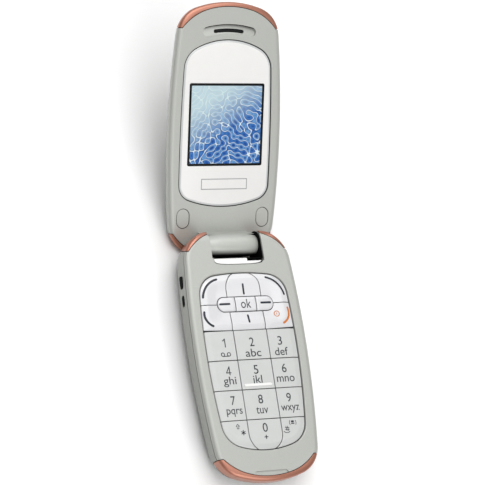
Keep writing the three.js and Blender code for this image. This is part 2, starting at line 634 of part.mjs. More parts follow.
// Cover over the battery: the lower part of the back, a tray that is open towards the hinge
const coverHollow = stack(phoneOutline, [
  { outline: heelOutline(1), inset: BACK_ROUND_WIDTH + COVER_WALL - 1, z: backAt(COVER_PLATE) },
  { outline: heelOutline(0.5), inset: BAY_INSET, z: backAt(COVER_RIM + 1) },
]);
const batteryCover = cut(keep(baseForm, coverZone(0)), coverHollow);

// Battery and the pieces round it
const batteryFloor = COVER_PLATE + SEAM;
const battery = prism(
  rectangle(-BATTERY_HALF_WIDTH, BATTERY_HALF_WIDTH, -BATTERY_FOOT, -BATTERY_HEAD, 1),
  backAt(batteryFloor), backAt(batteryFloor + BATTERY_THICKNESS),
);
const contactsFoot = BATTERY_HEAD - SEAM;
const batteryConnector = prism(
  rectangle(-CONTACT_HALF_WIDTH, CONTACT_HALF_WIDTH, -contactsFoot, -contactsFoot + CONTACT_LENGTH),
  backAt(batteryFloor), backAt(BAY_CEILING - SEAM),
);
const simFoot = contactsFoot - CONTACT_LENGTH - SEAM;
const simHolder = prism(
  rectangle(-SIM_HALF_WIDTH, SIM_HALF_WIDTH, -simFoot, -simFoot + SIM_LENGTH),
  backAt(BAY_CEILING - SEAM - SIM_THICKNESS), backAt(BAY_CEILING - SEAM),
);

// Layers under the keys
const webTop = -FACE_DROP - WEB_CLEARANCE;
const webBottom = webTop - WEB_THICKNESS;
const foilTop = webBottom - SEAM;
const foilBottom = foilTop - FOIL_THICKNESS;
const boardTop = foilBottom - SEAM;
const boardBottom = boardTop - BOARD_THICKNESS;
const padPlate = (inset, low, high) => stack(padOutline, [{ inset, z: low }, { inset, z: high }]);
const keypadWeb = padPlate(-WEB_OVERHANG, webBottom, webTop);
const domeSheet = padPlate(0, foilBottom, foilTop);
const mainBoard = prism(
  rectangle(-BOARD_HALF_WIDTH, BOARD_HALF_WIDTH, -BOARD_FOOT, -BOARD_HEAD, BOARD_CORNER), boardBottom, boardTop,
);
const shieldTop = boardBottom - SEAM;
const shieldCan = box(-SHIELD_HALF_WIDTH, SHIELD_HALF_WIDTH, -SHIELD_FOOT, -SHIELD_HEAD, shieldTop - SHIELD_HEIGHT, shieldTop);
const microphone = turnedUpright(
  [[0, webTop - MICROPHONE_HEIGHT], [MICROPHONE_RADIUS, webTop - MICROPHONE_HEIGHT], [MICROPHONE_RADIUS, webTop], [0, webTop]],
  0, -MICROPHONE_AT, 16,
);
const motorZ = boardBottom - SEAM - MOTOR_RADIUS;
const vibrationMotor = rodAlongX(MOTOR_AT[0] - MOTOR_LENGTH / 2, MOTOR_AT[0] + MOTOR_LENGTH / 2, MOTOR_RADIUS, 16, MOTOR_AT[1], motorZ);
const speakerBottom = backAt(COVER_PLATE + 2 * SEAM)(SPEAKER_AT[1] - SPEAKER_RADIUS);
const loudspeaker = turnedUpright(
  [[0, speakerBottom], [SPEAKER_RADIUS, speakerBottom], [SPEAKER_RADIUS, speakerBottom + SPEAKER_HEIGHT], [0, speakerBottom + SPEAKER_HEIGHT]],
  SPEAKER_AT[0], SPEAKER_AT[1], 24,
);
const antenna = box(-ANTENNA_HALF_WIDTH, ANTENNA_HALF_WIDTH, -TUB_HEAD - SEAM - ANTENNA_THICKNESS, -TUB_HEAD - SEAM,
  -ANTENNA_DEPTHS[1], -ANTENNA_DEPTHS[0]);
const socketFace = HALF_WIDTH - WALL - SEAM - 1.4;
const chargingSocket = box(socketFace - SOCKET_BODY_DEPTH, socketFace, -SOCKET_AT - SOCKET_SIZE[0] / 2 - 0.6, -SOCKET_AT + SOCKET_SIZE[0] / 2 + 0.6,
  -SOCKET_DEPTH - SOCKET_SIZE[1] / 2 - 0.5, Math.min(-SOCKET_DEPTH + SOCKET_SIZE[1] / 2 + 0.5, boardBottom - SEAM));

// Key caps: the keypad's form, parted along its lines
const capLow = KEY_TOP - KEY_THICKNESS;
const capForm = stack(padOutline, [{ inset: KEY_GAP, z: capLow }, { inset: KEY_GAP, z: KEY_TOP }]);
const half = KEY_GAP / 2;
const capCell = (points) => prism(points, -3, 3);
const cellBox = (x0, x1, y0, y1) => capCell(rectangle(x0 + half, x1 - half, y0 + half, y1 - half));
const pill = (grow) => capCell(stadium(0, -NAV_LINE, PILL_HALF_LENGTH + grow, PILL_HALF_HEIGHT + grow));

// Straight sides that turn in towards one end, as on the up key and the zero key
function bulletShape(halfWidth, radius, shoulderY, baseY, grow) {
  const toEnd = Math.sign(shoulderY - baseY);
  const points = [new THREE.Vector2(halfWidth + grow, baseY)];
  const steps = 8;
  for (let step = 0; step <= steps; step += 1) {
    const turn = (Math.PI / 2) * (step / steps);
    points.push(new THREE.Vector2(halfWidth - radius + (radius + grow) * Math.cos(turn), shoulderY + toEnd * (radius + grow) * Math.sin(turn)));
  }
  return points.concat(points.slice().reverse().map((p) => new THREE.Vector2(-p.x, p.y)));
}
const upShape = (grow) => capCell(bulletShape(UP_KEY_HALF_WIDTH, UP_KEY_RADIUS, -UP_KEY_SHOULDER, -NAV_LINE, grow));
const rowLine = (row) => -FIRST_ROW_LINE - row * ROW_PITCH;
const zeroShape = (grow) => capCell(bulletShape(COLUMN_LINE, ZERO_KEY_RADIUS, -ZERO_KEY_SHOULDER, rowLine(3) + half, grow));
const downCell = cellBox(-DOWN_KEY_HALF_WIDTH, DOWN_KEY_HALF_WIDTH, rowLine(0), -NAV_LINE);

const keyCaps = {
  softkey_left: cut(keep(capForm, cellBox(-FAR, 0, -NAV_LINE, 0)), pill(half), upShape(half)),
  softkey_right: cut(keep(capForm, cellBox(0, FAR, -NAV_LINE, 0)), pill(half), upShape(half)),
  call_key: cut(keep(capForm, cellBox(-FAR, -DOWN_KEY_HALF_WIDTH, rowLine(0), -NAV_LINE)), pill(half)),
  end_key: cut(keep(capForm, cellBox(DOWN_KEY_HALF_WIDTH, FAR, rowLine(0), -NAV_LINE)), pill(half)),
  nav_up: cut(keep(capForm, upShape(-half)), pill(half)),
  nav_down: cut(keep(capForm, downCell), pill(half)),
  nav_left: keep(capForm, pill(-half), cellBox(-FAR, -OK_HALF_WIDTH, -FAR, FAR)),
  ok_key: keep(capForm, pill(-half), cellBox(-OK_HALF_WIDTH, OK_HALF_WIDTH, -FAR, FAR)),
  nav_right: keep(capForm, pill(-half), cellBox(OK_HALF_WIDTH, FAR, -FAR, FAR)),
};
const columns = [[-FAR, -COLUMN_LINE], [-COLUMN_LINE, COLUMN_LINE], [COLUMN_LINE, FAR]];
for (let row = 0; row < 3; row += 1) {
  columns.forEach(([left, right], column) => {
    keyCaps[`key_${row * 3 + column + 1}`] = keep(capForm, cellBox(left, right, rowLine(row + 1), rowLine(row)));
  });
}
keyCaps.key_star = cut(keep(capForm, cellBox(-FAR, 0, -FAR, rowLine(3))), zeroShape(half));
keyCaps.key_0 = keep(capForm, zeroShape(-half), cellBox(-FAR, FAR, -FAR, rowLine(3)));
keyCaps.key_hash = cut(keep(capForm, cellBox(0, FAR, -FAR, rowLine(3))), zeroShape(half));

// Lid as one form, drawn shut: its face lies over the keypad face
const lidFace = SHUT_GAP;
const lidBack = SHUT_GAP + LID_THICKNESS;
const lidFaceRim = quarter.map((turn) => ({
  inset: FACE_ROUND * (1 - Math.sin(turn)),
  z: lidFace + FACE_DROP * (1 - Math.cos(turn)),
}));
const lidBackAt = (depth) => (y) => lidBack + (y + LID_TAPER_FROM) * LID_TAPER - depth;
const lidSideTop = lidFace + LID_SIDE_HEIGHT;
const lidBackRound = quarter.map((turn) => ({
  inset: LID_BACK_ROUND_WIDTH * (1 - Math.sin(turn)),
  z: (y) => THREE.MathUtils.lerp(lidSideTop, lidBackAt(0)(y), Math.cos(turn)),
}));
const lidBlock = stack(phoneOutline, [...lidFaceRim, ...lidBackRound.reverse()]);

// Nose: the back of the lid slopes to the hinge, so that the open lid clears the table
const tilt = Math.PI - OPEN_ANGLE;
const noseScale = Math.cos(tilt) - Math.sin(tilt) * Math.tan(BACK_SLOPE);
const noseStart = (BACK_DEPTH - NOSE_CLEARANCE - AXIS_DEPTH) / noseScale - AXIS_DEPTH;
const noseSlope = tilt + BACK_SLOPE;
const noseHeight = (y) => noseStart - y * Math.tan(noseSlope);
const noseCentre = new THREE.Vector2(
  -NOSE_TANGENT_AT - NOSE_RADIUS * Math.sin(noseSlope),
  noseHeight(-NOSE_TANGENT_AT) - NOSE_RADIUS * Math.cos(noseSlope),
);
const flatStart = Math.acos((lidBack - noseCentre.y) / NOSE_RADIUS);
const filletTurn = NOSE_FILLET / NOSE_RADIUS;
const lidSide = [
  new THREE.Vector2(NOSE_END - NOSE_BLUNT, -1),
  new THREE.Vector2(NOSE_END - NOSE_BLUNT, lidFace),
  new THREE.Vector2(NOSE_END, lidFace + NOSE_BLUNT),
  new THREE.Vector2(NOSE_END, noseHeight(NOSE_END)),
];
const noseSteps = 6;
for (let step = 0; step <= noseSteps; step += 1) {
  const turn = THREE.MathUtils.lerp(noseSlope, flatStart + filletTurn / 2, step / noseSteps);
  lidSide.push(new THREE.Vector2(noseCentre.x + NOSE_RADIUS * Math.sin(turn), noseCentre.y + NOSE_RADIUS * Math.cos(turn)));
}
const filletFrom = lidSide[lidSide.length - 1];
const filletCorner = new THREE.Vector2(noseCentre.x + NOSE_RADIUS * Math.sin(flatStart), lidBack);
const filletTo = new THREE.Vector2(filletCorner.x - NOSE_FILLET / 2, lidBack);
const fillet = new THREE.QuadraticBezierCurve(filletFrom, filletCorner, filletTo);
fillet.getPoints(5).slice(1).forEach((p) => lidSide.push(p));
lidSide.push(new THREE.Vector2(-FAR, lidBack), new THREE.Vector2(-FAR, -1));
const lidForm = keep(lidBlock, sidePrism(lidSide, -FAR, FAR));

// The lid's trims follow the same line
const lidTrimRing = (gap) => outsideTrimLine(gap, -2, lidFace + FOOT_TRIM_DEPTH + gap);
const tipTrimZone = (gap) => keep(lidTrimRing(gap), box(-FAR, FAR, -FAR, -TIP_TRIM_START + gap, -FAR, FAR));
const cornerTrimZone = (side, gap) => {
  const inner = notchHalf + SEAM - gap;
  return keep(lidTrimRing(gap), box(side > 0 ? inner : -FAR, side > 0 ? FAR : -inner, -CORNER_TRIM_START - gap, FAR, -FAR, FAR));
};
const lidTipTrim = keep(lidForm, tipTrimZone(0));
const lidCornerTrims = [-1, 1].map((side) => keep(lidForm, cornerTrimZone(side, 0)));
const lidTrimCuts = [tipTrimZone(SEAM), cornerTrimZone(-1, SEAM), cornerTrimZone(1, SEAM)];

// Lens and its seat
const lensFace = lidFace + LENS_SUNK;
const lensUnder = lensFace + LENS_THICKNESS;
const displayLens = stack(lensOutline, [
  { inset: KEY_GAP + 0.3, z: lensFace },
  { inset: KEY_GAP, z: lensFace + 0.3 },
  { inset: KEY_GAP, z: lensUnder },
]);
const lensSeat = stack(lensOutline, [
  { inset: -PAD_OPENING_CHAMFER, z: -1 },
  { inset: -PAD_OPENING_CHAMFER, z: lidFace },
  { inset: 0, z: lidFace + PAD_OPENING_CHAMFER },
  { inset: 0, z: lensUnder + SEAM },
]);
const bezelFloorTop = lensUnder + SEAM + BEZEL_FLOOR;
const windowHalf = DISPLAY_HALF + DISPLAY_WINDOW_MARGIN;
const displayWindow = box(-windowHalf, windowHalf, -DISPLAY_MIDDLE - windowHalf, -DISPLAY_MIDDLE + windowHalf, 0, FAR);
const moduleLow = bezelFloorTop + SEAM;
const moduleHalf = DISPLAY_HALF + MODULE_MARGIN;
const displayModule = box(-moduleHalf, moduleHalf, -DISPLAY_MIDDLE - moduleHalf, -DISPLAY_MIDDLE + moduleHalf,
  moduleLow, moduleLow + MODULE_THICKNESS);
const lidBoardLow = moduleLow + MODULE_THICKNESS + SEAM;
const lidBoard = box(-LID_BOARD_HALF_WIDTH, LID_BOARD_HALF_WIDTH, -LID_BOARD_ENDS[1], -LID_BOARD_ENDS[0],
  lidBoardLow, lidBoardLow + LID_BOARD_THICKNESS);

// Earpiece: a shallow almond scoop with an arched slot
const almondSteps = 10;
const almond = (halfLength, rise, fall) => {
  const points = [];
  for (let step = 0; step <= almondSteps; step += 1) {
    const across = 1 - (2 * step) / almondSteps;
    points.push(new THREE.Vector2(across * halfLength, -EAR_MIDDLE - rise * (1 - across * across)));
  }
  for (let step = 1; step < almondSteps; step += 1) {
    const across = -1 + (2 * step) / almondSteps;
    points.push(new THREE.Vector2(across * halfLength, -EAR_MIDDLE + fall * (1 - across * across)));
  }
  return points;
};
const earScoopRing = (share, z) => almond(EAR_RECESS_HALF * share, EAR_RECESS_RISE * share, EAR_RECESS_FALL * share)
  .map((p) => new THREE.Vector3(p.x, p.y, z));
const earScoop = skin([earScoopRing(1, lidFace - 1), earScoopRing(1, lidFace), earScoopRing(0.82, lidFace + EAR_RECESS_DEPTH)],
  (p) => new THREE.Vector2(p.x, p.y));
const earSlot = (gap) => stadium(0, -EAR_SLOT_AT, EAR_SLOT_HALF - gap, EAR_SLOT_WIDTH / 2 - gap);
const earHole = prism(earSlot(0), 0, FAR);
const meshTop = lidFace + EAR_RECESS_DEPTH + 0.2;
const earpieceMesh = prism(earSlot(PLUG_GAP), meshTop, bezelFloorTop);
const earpieceSize = EARPIECE_SIZE.map((size) => size / 2);
const earpieceLow = bezelFloorTop + SEAM;
const earpiece = box(-earpieceSize[0], earpieceSize[0], -EAR_SLOT_AT - earpieceSize[1], -EAR_SLOT_AT + earpieceSize[1],
  earpieceLow, earpieceLow + EARPIECE_SIZE[2]);
const closingMagnet = box(MAGNET_AT[0] - MAGNET_SIZE[0] / 2, MAGNET_AT[0] + MAGNET_SIZE[0] / 2,
  MAGNET_AT[1] - MAGNET_SIZE[1] / 2, MAGNET_AT[1] + MAGNET_SIZE[1] / 2, earpieceLow, earpieceLow + MAGNET_SIZE[2]);

// Screws under the two plugs
const plugUnder = lidFace + PLUG_THICKNESS;
const plugShape = (side, gap) => stadium(side * PLUG_AT[0], PLUG_AT[1], PLUG_LENGTH / 2 + gap, PLUG_HALF_WIDTH + gap, true);
const screwPlug = (side) => prism(plugShape(side, 0), lidFace, plugUnder);
const plugSeat = (side) => prism(plugShape(side, PLUG_GAP), -1, plugUnder + SEAM);
const lidScrewLow = plugUnder + 2 * SEAM;
const lidScrew = (side) => turnedUpright(screwProfile(lidScrewLow, LID_SCREW_LENGTH, 0), side * PLUG_AT[0], PLUG_AT[1], 16);
const lidScrewHole = (side) => join(
  turnedUpright(screwProfile(lidScrewLow, LID_SCREW_LENGTH, SEAM), side * PLUG_AT[0], PLUG_AT[1], 16),
  prism(stadium(side * PLUG_AT[0], PLUG_AT[1], SCREW_HEAD_RADIUS + SEAM + 0.01, SCREW_HEAD_RADIUS + SEAM), plugUnder, lidScrewLow + 0.1),
);

// Barrel, crowned, with the web that carries it
const barrelSteps = 8;
const barrelProfile = [[-BARREL_HALF, 0]];
for (let step = 0; step <= barrelSteps; step += 1) {
  const across = -1 + (2 * step) / barrelSteps;
  barrelProfile.push([across * BARREL_HALF, BARREL_END_RADIUS + (BARREL_RADIUS - BARREL_END_RADIUS) * (1 - across * across)]);
}
barrelProfile.push([BARREL_HALF, 0]);
const barrel = turnedAlongX(barrelProfile, 36);
const barrelWeb = box(-BARREL_HALF, BARREL_HALF, -BARREL_END_RADIUS, WEB_ROOT, -AXIS_DEPTH, lidFace + 0.5);
const moduleBore = rodAlongX(BARREL_HALF - HINGE_MODULE_LENGTH - RUN_GAP, BARREL_HALF + 1, HINGE_BORE_RADIUS);
const sleeveBore = rodAlongX(-BARREL_HALF - 1, -BARREL_HALF + HINGE_SLEEVE_LENGTH + RUN_GAP, HINGE_BORE_RADIUS);

const lidCavity = (low, high, inset) => keep(
  stack(phoneOutline, [{ inset, z: low }, { inset, z: high }]),
  box(-FAR, FAR, -LID_CAVITY_ENDS[1], -LID_CAVITY_ENDS[0], -FAR, FAR),
);
const lidSeam = lidFace + LID_SPLIT;
const bezelBlock = cut(keep(lidForm, box(-FAR, FAR, -FAR, FAR, -FAR, lidSeam)), lidCavity(bezelFloorTop, FAR, LID_WALL));
const lidInnerHousing = cut(
  join(bezelBlock, barrel, barrelWeb),
  lensSeat, displayWindow, earScoop, earHole, plugSeat(-1), plugSeat(1), lidScrewHole(-1), lidScrewHole(1),
  moduleBore, sleeveBore, ...lidTrimCuts,
);
const lidOuterHousing = cut(
  keep(lidForm, box(-FAR, FAR, -FAR, FAR, lidSeam + SEAM, FAR)),
  lidCavity(0, lidBackAt(LID_SHELL), LID_WALL + 1.2), lidScrewHole(-1), lidScrewHole(1), ...lidTrimCuts,
);

// Hinge parts that turn with the lid
const bodyRadius = HINGE_BORE_RADIUS - RUN_GAP;
const headReach = BARREL_HALF;
const hingeModule = turnedAlongX([
  [headReach - HINGE_MODULE_LENGTH, 0], [headReach - HINGE_MODULE_LENGTH, bodyRadius], [headReach, bodyRadius],
  [headReach, PIVOT_RADIUS], [PIVOT_REACH, PIVOT_RADIUS], [PIVOT_REACH, 0],
], 24);
const hingeSleeve = cut(
  turnedAlongX([
    [-PIVOT_REACH, 0], [-PIVOT_REACH, PIVOT_RADIUS], [-headReach, PIVOT_RADIUS], [-headReach, bodyRadius],
    [-headReach + HINGE_SLEEVE_LENGTH, bodyRadius], [-headReach + HINGE_SLEEVE_LENGTH, 0],
  ], 24),
  rodAlongX(-PIVOT_REACH - 1, 0, FLEX_RADIUS + RUN_GAP, 12),
);
const hingeFlex = rodAlongX(-PIVOT_REACH, -headReach + HINGE_SLEEVE_LENGTH - RUN_GAP, FLEX_RADIUS, 10);

// The model

const phone = new THREE.Group();
const lid = new THREE.Group();

function place(name, solid, material, group = phone) {
  const mesh = solid.getMesh();
  const geometry = new THREE.BufferGeometry();
  geometry.setAttribute('position', new THREE.Float32BufferAttribute(mesh.vertProperties, 3));
  geometry.setIndex(Array.from(mesh.triVerts));
  geometry.computeVertexNormals();
  const piece = new THREE.Mesh(geometry, material);
  piece.name = name;
  group.add(piece);
}

place('base_front_housing', baseFrontHousing, silverPaint);
place('base_rear_housing', baseRearHousing, silverPaint);
place('base_foot_trim', footTrim, copperPaint);
place('base_shoulder_trim_left', shoulderTrims[0], copperPaint);
place('base_shoulder_trim_right', shoulderTrims[1], copperPaint);
place('battery_cover', batteryCover, silverPaint);
place('battery', battery, batteryWrap);
place('battery_connector', batteryConnector, darkPlastic);
place('sim_holder', simHolder, steel);
place('keypad_web', keypadWeb, silicone);
place('dome_sheet', domeSheet, steel);
place('main_board', mainBoard, boardGreen);
place('shield_can', shieldCan, tin);
place('microphone', microphone, tin);
place('vibration_motor', vibrationMotor, steel);
place('loudspeaker', loudspeaker, darkPlastic);
place('antenna', antenna, darkPlastic);
place('charging_socket', chargingSocket, tin);
place('base_screw_left', baseScrew(-1), steel);
place('base_screw_right', baseScrew(1), steel);
Object.entries(keyCaps).forEach(([name, cap]) => {
  place(name, cap, /^key_/.test(name) ? numberKeyPlastic : keyPlastic);
});

place('lid_inner_housing', lidInnerHousing, silverPaint, lid);
place('lid_outer_housing', lidOuterHousing, silverPaint, lid);
place('lid_tip_trim', lidTipTrim, copperPaint, lid);
place('lid_corner_trim_left', lidCornerTrims[0], copperPaint, lid);
place('lid_corner_trim_right', lidCornerTrims[1], copperPaint, lid);
place('display_lens', displayLens, lensPlastic, lid);
place('display_module', displayModule, displayGlass, lid);
place('lid_board', lidBoard, boardGreen, lid);
place('earpiece', earpiece, darkPlastic, lid);
place('earpiece_mesh', earpieceMesh, darkPlastic, lid);
place('closing_magnet', closingMagnet, tin, lid);
place('screw_plug_left', screwPlug(-1), silverPaint, lid);
place('screw_plug_right', screwPlug(1), silverPaint, lid);
place('lid_screw_left', lidScrew(-1), steel, lid);
place('lid_screw_right', lidScrew(1), steel, lid);
place('hinge_module', hingeModule, steel, lid);
place('hinge_sleeve', hingeSleeve, darkPlastic, lid);
place('hinge_flex', hingeFlex, darkPlastic, lid);

// The lid turns open about the hinge axis
const hinge = new THREE.Group();
hinge.position.set(0, 0, -AXIS_DEPTH);
hinge.rotation.x = -OPEN_ANGLE;
lid.position.set(0, 0, AXIS_DEPTH);
hinge.add(lid);
phone.add(hinge);

// The phone lies on its sloping back, with the middle of its footprint on the origin
phone.rotation.x = BACK_SLOPE;
const part = new THREE.Group();
part.add(phone);
part.updateMatrixWorld(true);
const extent = new THREE.Box3().setFromObject(part, true);
phone.position.y = -(extent.min.y + extent.max.y) / 2;
phone.position.z = -extent.min.z;

export default part;
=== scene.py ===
import math
import bmesh
import bpy
from mathutils import Matrix, Vector
from mathutils.bvhtree import BVHTree


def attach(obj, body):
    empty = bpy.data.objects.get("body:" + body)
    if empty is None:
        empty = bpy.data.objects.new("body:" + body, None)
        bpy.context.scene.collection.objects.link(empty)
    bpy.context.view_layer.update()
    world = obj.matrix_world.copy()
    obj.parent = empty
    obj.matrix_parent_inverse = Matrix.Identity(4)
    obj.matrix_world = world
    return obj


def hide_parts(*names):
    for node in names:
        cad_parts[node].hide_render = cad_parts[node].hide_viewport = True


# Flip phone, open on its back. Every form is drawn in millimetres in the phone's own frame, X to the right,
# Y from the keypad's foot to the hinge and Z out of the keys, from the hinge line at the height of the keypad
# face. The lid is drawn shut. Each finished form is then put in its place in metres.
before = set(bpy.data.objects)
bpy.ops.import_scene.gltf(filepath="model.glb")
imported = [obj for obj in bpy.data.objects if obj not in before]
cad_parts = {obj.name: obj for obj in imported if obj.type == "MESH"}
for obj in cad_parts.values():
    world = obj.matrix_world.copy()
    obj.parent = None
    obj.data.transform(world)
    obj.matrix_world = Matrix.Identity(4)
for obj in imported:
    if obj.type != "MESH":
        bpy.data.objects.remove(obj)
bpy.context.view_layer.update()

# Camera
# The photograph is taken from above, over the left side of the keypad, from about 0.8 m with a long lens. The
# camera's place and turn were solved from points of the phone that were measured in it.
camera_data = bpy.data.cameras.new("camera")
camera_data.lens = 178.21
camera_data.sensor_width = 36
camera_data.clip_start = 0.05
camera = bpy.data.objects.new("camera", camera_data)
camera.location = (-0.37183, -0.24314, 0.73630)
camera.rotation_euler = [math.radians(angle) for angle in (21.442, -24.066, -10.681)]
bpy.context.scene.collection.objects.link(camera)
bpy.context.scene.camera = camera
bpy.context.scene.view_settings.view_transform = "Standard"


# Studio
# A pale seamless floor in a dim room, with large soft lights: one overhead, one in front and weaker ones behind
# and to the right, so that the phone's left side falls into shade.
def linear(hex_colour):
    """An sRGB hex colour as linear values, with alpha."""
    parts = [int(hex_colour[i:i + 2], 16) / 255 for i in (1, 3, 5)]
    return [c / 12.92 if c <= 0.04045 else ((c + 0.055) / 1.055) ** 2.4 for c in parts] + [1.0]


def add_node(tree, kind, inputs, **settings):
    """Adds a node with its settings. An input is a value, or a pair of a node and the name of its output."""
    made = tree.nodes.new("ShaderNode" + kind)
    for name, value in settings.items():
        setattr(made, name, value)
    for name, value in inputs.items():
        if isinstance(value, tuple) and isinstance(value[0], bpy.types.Node):
            tree.links.new(value[0].outputs[value[1]], made.inputs[name])
        else:
            made.inputs[name].default_value = value
    return made


def new_material(name):
    """A material with an empty node tree, that tree, and the output that gives a point of the object."""
    material = bpy.data.materials.new(name)
    material.use_nodes = True
    tree = material.node_tree
    tree.nodes.clear()
    return material, tree, (add_node(tree, "TexCoord", {}), "Object")


ROOM_LIGHT = 0.26
world = bpy.data.worlds.new("studio")
bpy.context.scene.world = world
world.use_nodes = True
world.node_tree.nodes["Background"].inputs["Color"].default_value = linear("#FFFFFF")
world.node_tree.nodes["Background"].inputs["Strength"].default_value = ROOM_LIGHT
lights = (  # each with its place and size in metres, and its power in watts
    ("overhead", (0.0, 0.1, 1.0), 1.0, 5.2),
    ("window", (0.32, 0.7, 0.66), 0.6, 2.0),
    ("side", (0.7, 0.0, 0.6), 0.5, 0.2),
    ("front", (0.1, -0.8, 0.65), 0.7, 4.0),
    ("tip", (-0.1, 0.3, 0.45), 0.3, 0.7),
)
for name, place, size, power in lights:
    light = bpy.data.lights.new(name, "AREA")
    light.energy = power
    light.size = size
    lamp = bpy.data.objects.new(name, light)
    lamp.location = place
    lamp.rotation_euler = (-Vector(place)).to_track_quat("-Z", "Y").to_euler()
    bpy.context.scene.collection.objects.link(lamp)

floor_mesh = bpy.data.meshes.new("floor")
floor_form = bmesh.new()
bmesh.ops.create_grid(floor_form, x_segments=2, y_segments=2, size=2.0)
floor_form.to_mesh(floor_mesh)
floor_form.free()
floor = bpy.data.objects.new("floor", floor_mesh)
bpy.context.scene.collection.objects.link(floor)
paper, tree, spot = new_material("matt_white_paper")
tooth = add_node(tree, "TexNoise", {"Vector": spot, "Scale": 900.0, "Detail": 2.0})
relief = add_node(tree, "Bump", {"Height": (tooth, "Fac"), "Strength": 0.05, "Distance": 0.0002})
shader = add_node(tree, "BsdfPrincipled", {"Base Color": linear("#FBFBFB"), "Roughness": 0.9,
                                           "Normal": (relief, "Normal")})
add_node(tree, "OutputMaterial", {"Surface": (shader, "BSDF")})
floor_mesh.materials.append(paper)

# Keypad half: its whole form
# Two painted polycarbonate mouldings that meet 1.25 mm below the face, with copper coloured trims let into
# the foot and the shoulders. All are cut from one form here, so that their outsides run into each other.
FAR = 120.0  # beyond the phone on every side
TILT = math.radians(2.75)
SLOPE = math.tan(TILT)
phone_plan = {"half_width": 21.98, "widest": -37.2, "side_radius": 355.0, "foot": -86.2, "foot_radius": 39.0,
              "foot_corner": 11.0, "head": 5.2, "head_radius": 53.0, "head_corner": 11.8}
ARC_STEPS = (10, 14, 24, 14, 10)


def arcs_of(plan):
    """Centre, turn and steps of each arc of a plan's right half, from its foot to its head."""
    def meet(a, radius_a, b, radius_b, upper):
        apart = (b - a).length
        along = (radius_a ** 2 - radius_b ** 2 + apart ** 2) / (2 * apart)
        across = math.sqrt(radius_a ** 2 - along ** 2)
        onward = (b - a).normalized()
        side = Vector((-onward.y, onward.x)) * across
        found = (a + onward * along + side, a + onward * along - side)
        return max(found, key=lambda point: point.x + (point.y if upper else -point.y))
    side = Vector((plan["half_width"] - plan["side_radius"], plan["widest"]))
    foot = Vector((0, plan["foot"] + plan["foot_radius"]))
    head = Vector((0, plan["head"] - plan["head_radius"]))
    corner = plan["foot_corner"]
    low = meet(side, plan["side_radius"] - corner, foot, plan["foot_radius"] - corner, False)
    corner = plan["head_corner"]
    high = meet(side, plan["side_radius"] - corner, head, plan["head_radius"] - corner, True)
    headings = [-math.pi / 2]
    for start, end in ((foot, low), (side, low), (side, high), (head, high)):
        headings.append(math.atan2(end.y - start.y, end.x - start.x))
    headings.append(math.pi / 2)
    centres = (foot, low, side, high, head)
    return [(centres[i], headings[i + 1] - headings[i], ARC_STEPS[i]) for i in range(5)]


def edges_at(verts):
    """The edges that meet at some corners, each once and always in the same order."""
    return list(dict.fromkeys(e for v in verts for e in v.link_edges))


def ring(form, plan, inset, height, slope=0.0):
    """A closed loop round a plan: a point is spun through the arcs of the right half, which is then mirrored."""
    old = set(form.verts)
    moving = bmesh.ops.create_vert(form, co=(0, plan["foot"] + inset, 0))["vert"]
    for centre, turn, steps in arcs_of(plan):
        spun = bmesh.ops.spin(form, geom=moving, cent=(centre.x, centre.y, 0), axis=(0, 0, 1), angle=turn,
                              steps=steps)
        moving = [part for part in spun["geom_last"] if isinstance(part, bmesh.types.BMVert)]
    moving[0].co.x = 0
    new = [v for v in form.verts if v not in old]
    bmesh.ops.mirror(form, geom=new + edges_at(new), axis="X", merge_dist=0.0001)
    new = [v for v in form.verts if v not in old]
    for v in new:
        v.co.z = height + slope * v.co.y
    return edges_at(new)


def loft(levels):
    """A closed form through rings, each given as a plan, an inset, a height and a slope along Y."""
    form = bmesh.new()
    rings = [ring(form, *level) for level in levels]
    for lower, upper in zip(rings, rings[1:]):
        bmesh.ops.bridge_loops(form, edges=lower + upper)
    for end in (rings[0], rings[-1]):
        bmesh.ops.edgeloop_fill(form, edges=end)
    bmesh.ops.recalc_face_normals(form, faces=form.faces)
    return form


def round_off(form, parts, radius, segments, affect="EDGES"):
    """Rounds some edges or corners of a form."""
    bmesh.ops.bevel(form, geom=parts, offset=radius, offset_type="OFFSET", affect=affect, segments=segments,
                    profile=0.5, material=-1)


def thicken(form, depth):
    """Draws a flat form up by a depth."""
    grown = bmesh.ops.extrude_face_region(form, geom=form.faces[:])
    risen = [v for v in grown["geom"] if isinstance(v, bmesh.types.BMVert)]
    bmesh.ops.translate(form, verts=risen, vec=(0, 0, depth))


def slab(corners, low, high, rounding=0.0, rounded=None):
    """A flat shape between two heights, with some or all of its upright corners rounded."""
    form = bmesh.new()
    verts = [bmesh.ops.create_vert(form, co=(x, y, low))["vert"][0] for x, y in corners]
    bmesh.ops.contextual_create(form, geom=verts)
    if rounding:
        chosen = verts if rounded is None else [verts[i] for i in rounded]
        round_off(form, chosen, rounding, 8, "VERTICES")
    thicken(form, high - low)
    bmesh.ops.recalc_face_normals(form, faces=form.faces)
    return form


def block(x0, x1, y0, y1, z0, z1, rounding=0.0, rounded=None):
    """A rectangle between two heights."""
    return slab([(x0, y0), (x1, y0), (x1, y1), (x0, y1)], z0, z1, rounding, rounded)


def room(x=(-FAR, FAR), y=(-FAR, FAR), z=(-FAR, FAR)):
    """All the space between some limits."""
    return block(*x, *y, *z)


def rod(x0, x1, radius, y, z, segments=96):
    """A round bar along X."""
    form = bmesh.new()
    bmesh.ops.create_cone(form, cap_ends=True, segments=segments, radius1=radius, radius2=radius, depth=x1 - x0)
    bmesh.ops.rotate(form, verts=form.verts, matrix=Matrix.Rotation(math.pi / 2, 3, "Y"))
    bmesh.ops.translate(form, verts=form.verts, vec=((x0 + x1) / 2, y, z))
    return form


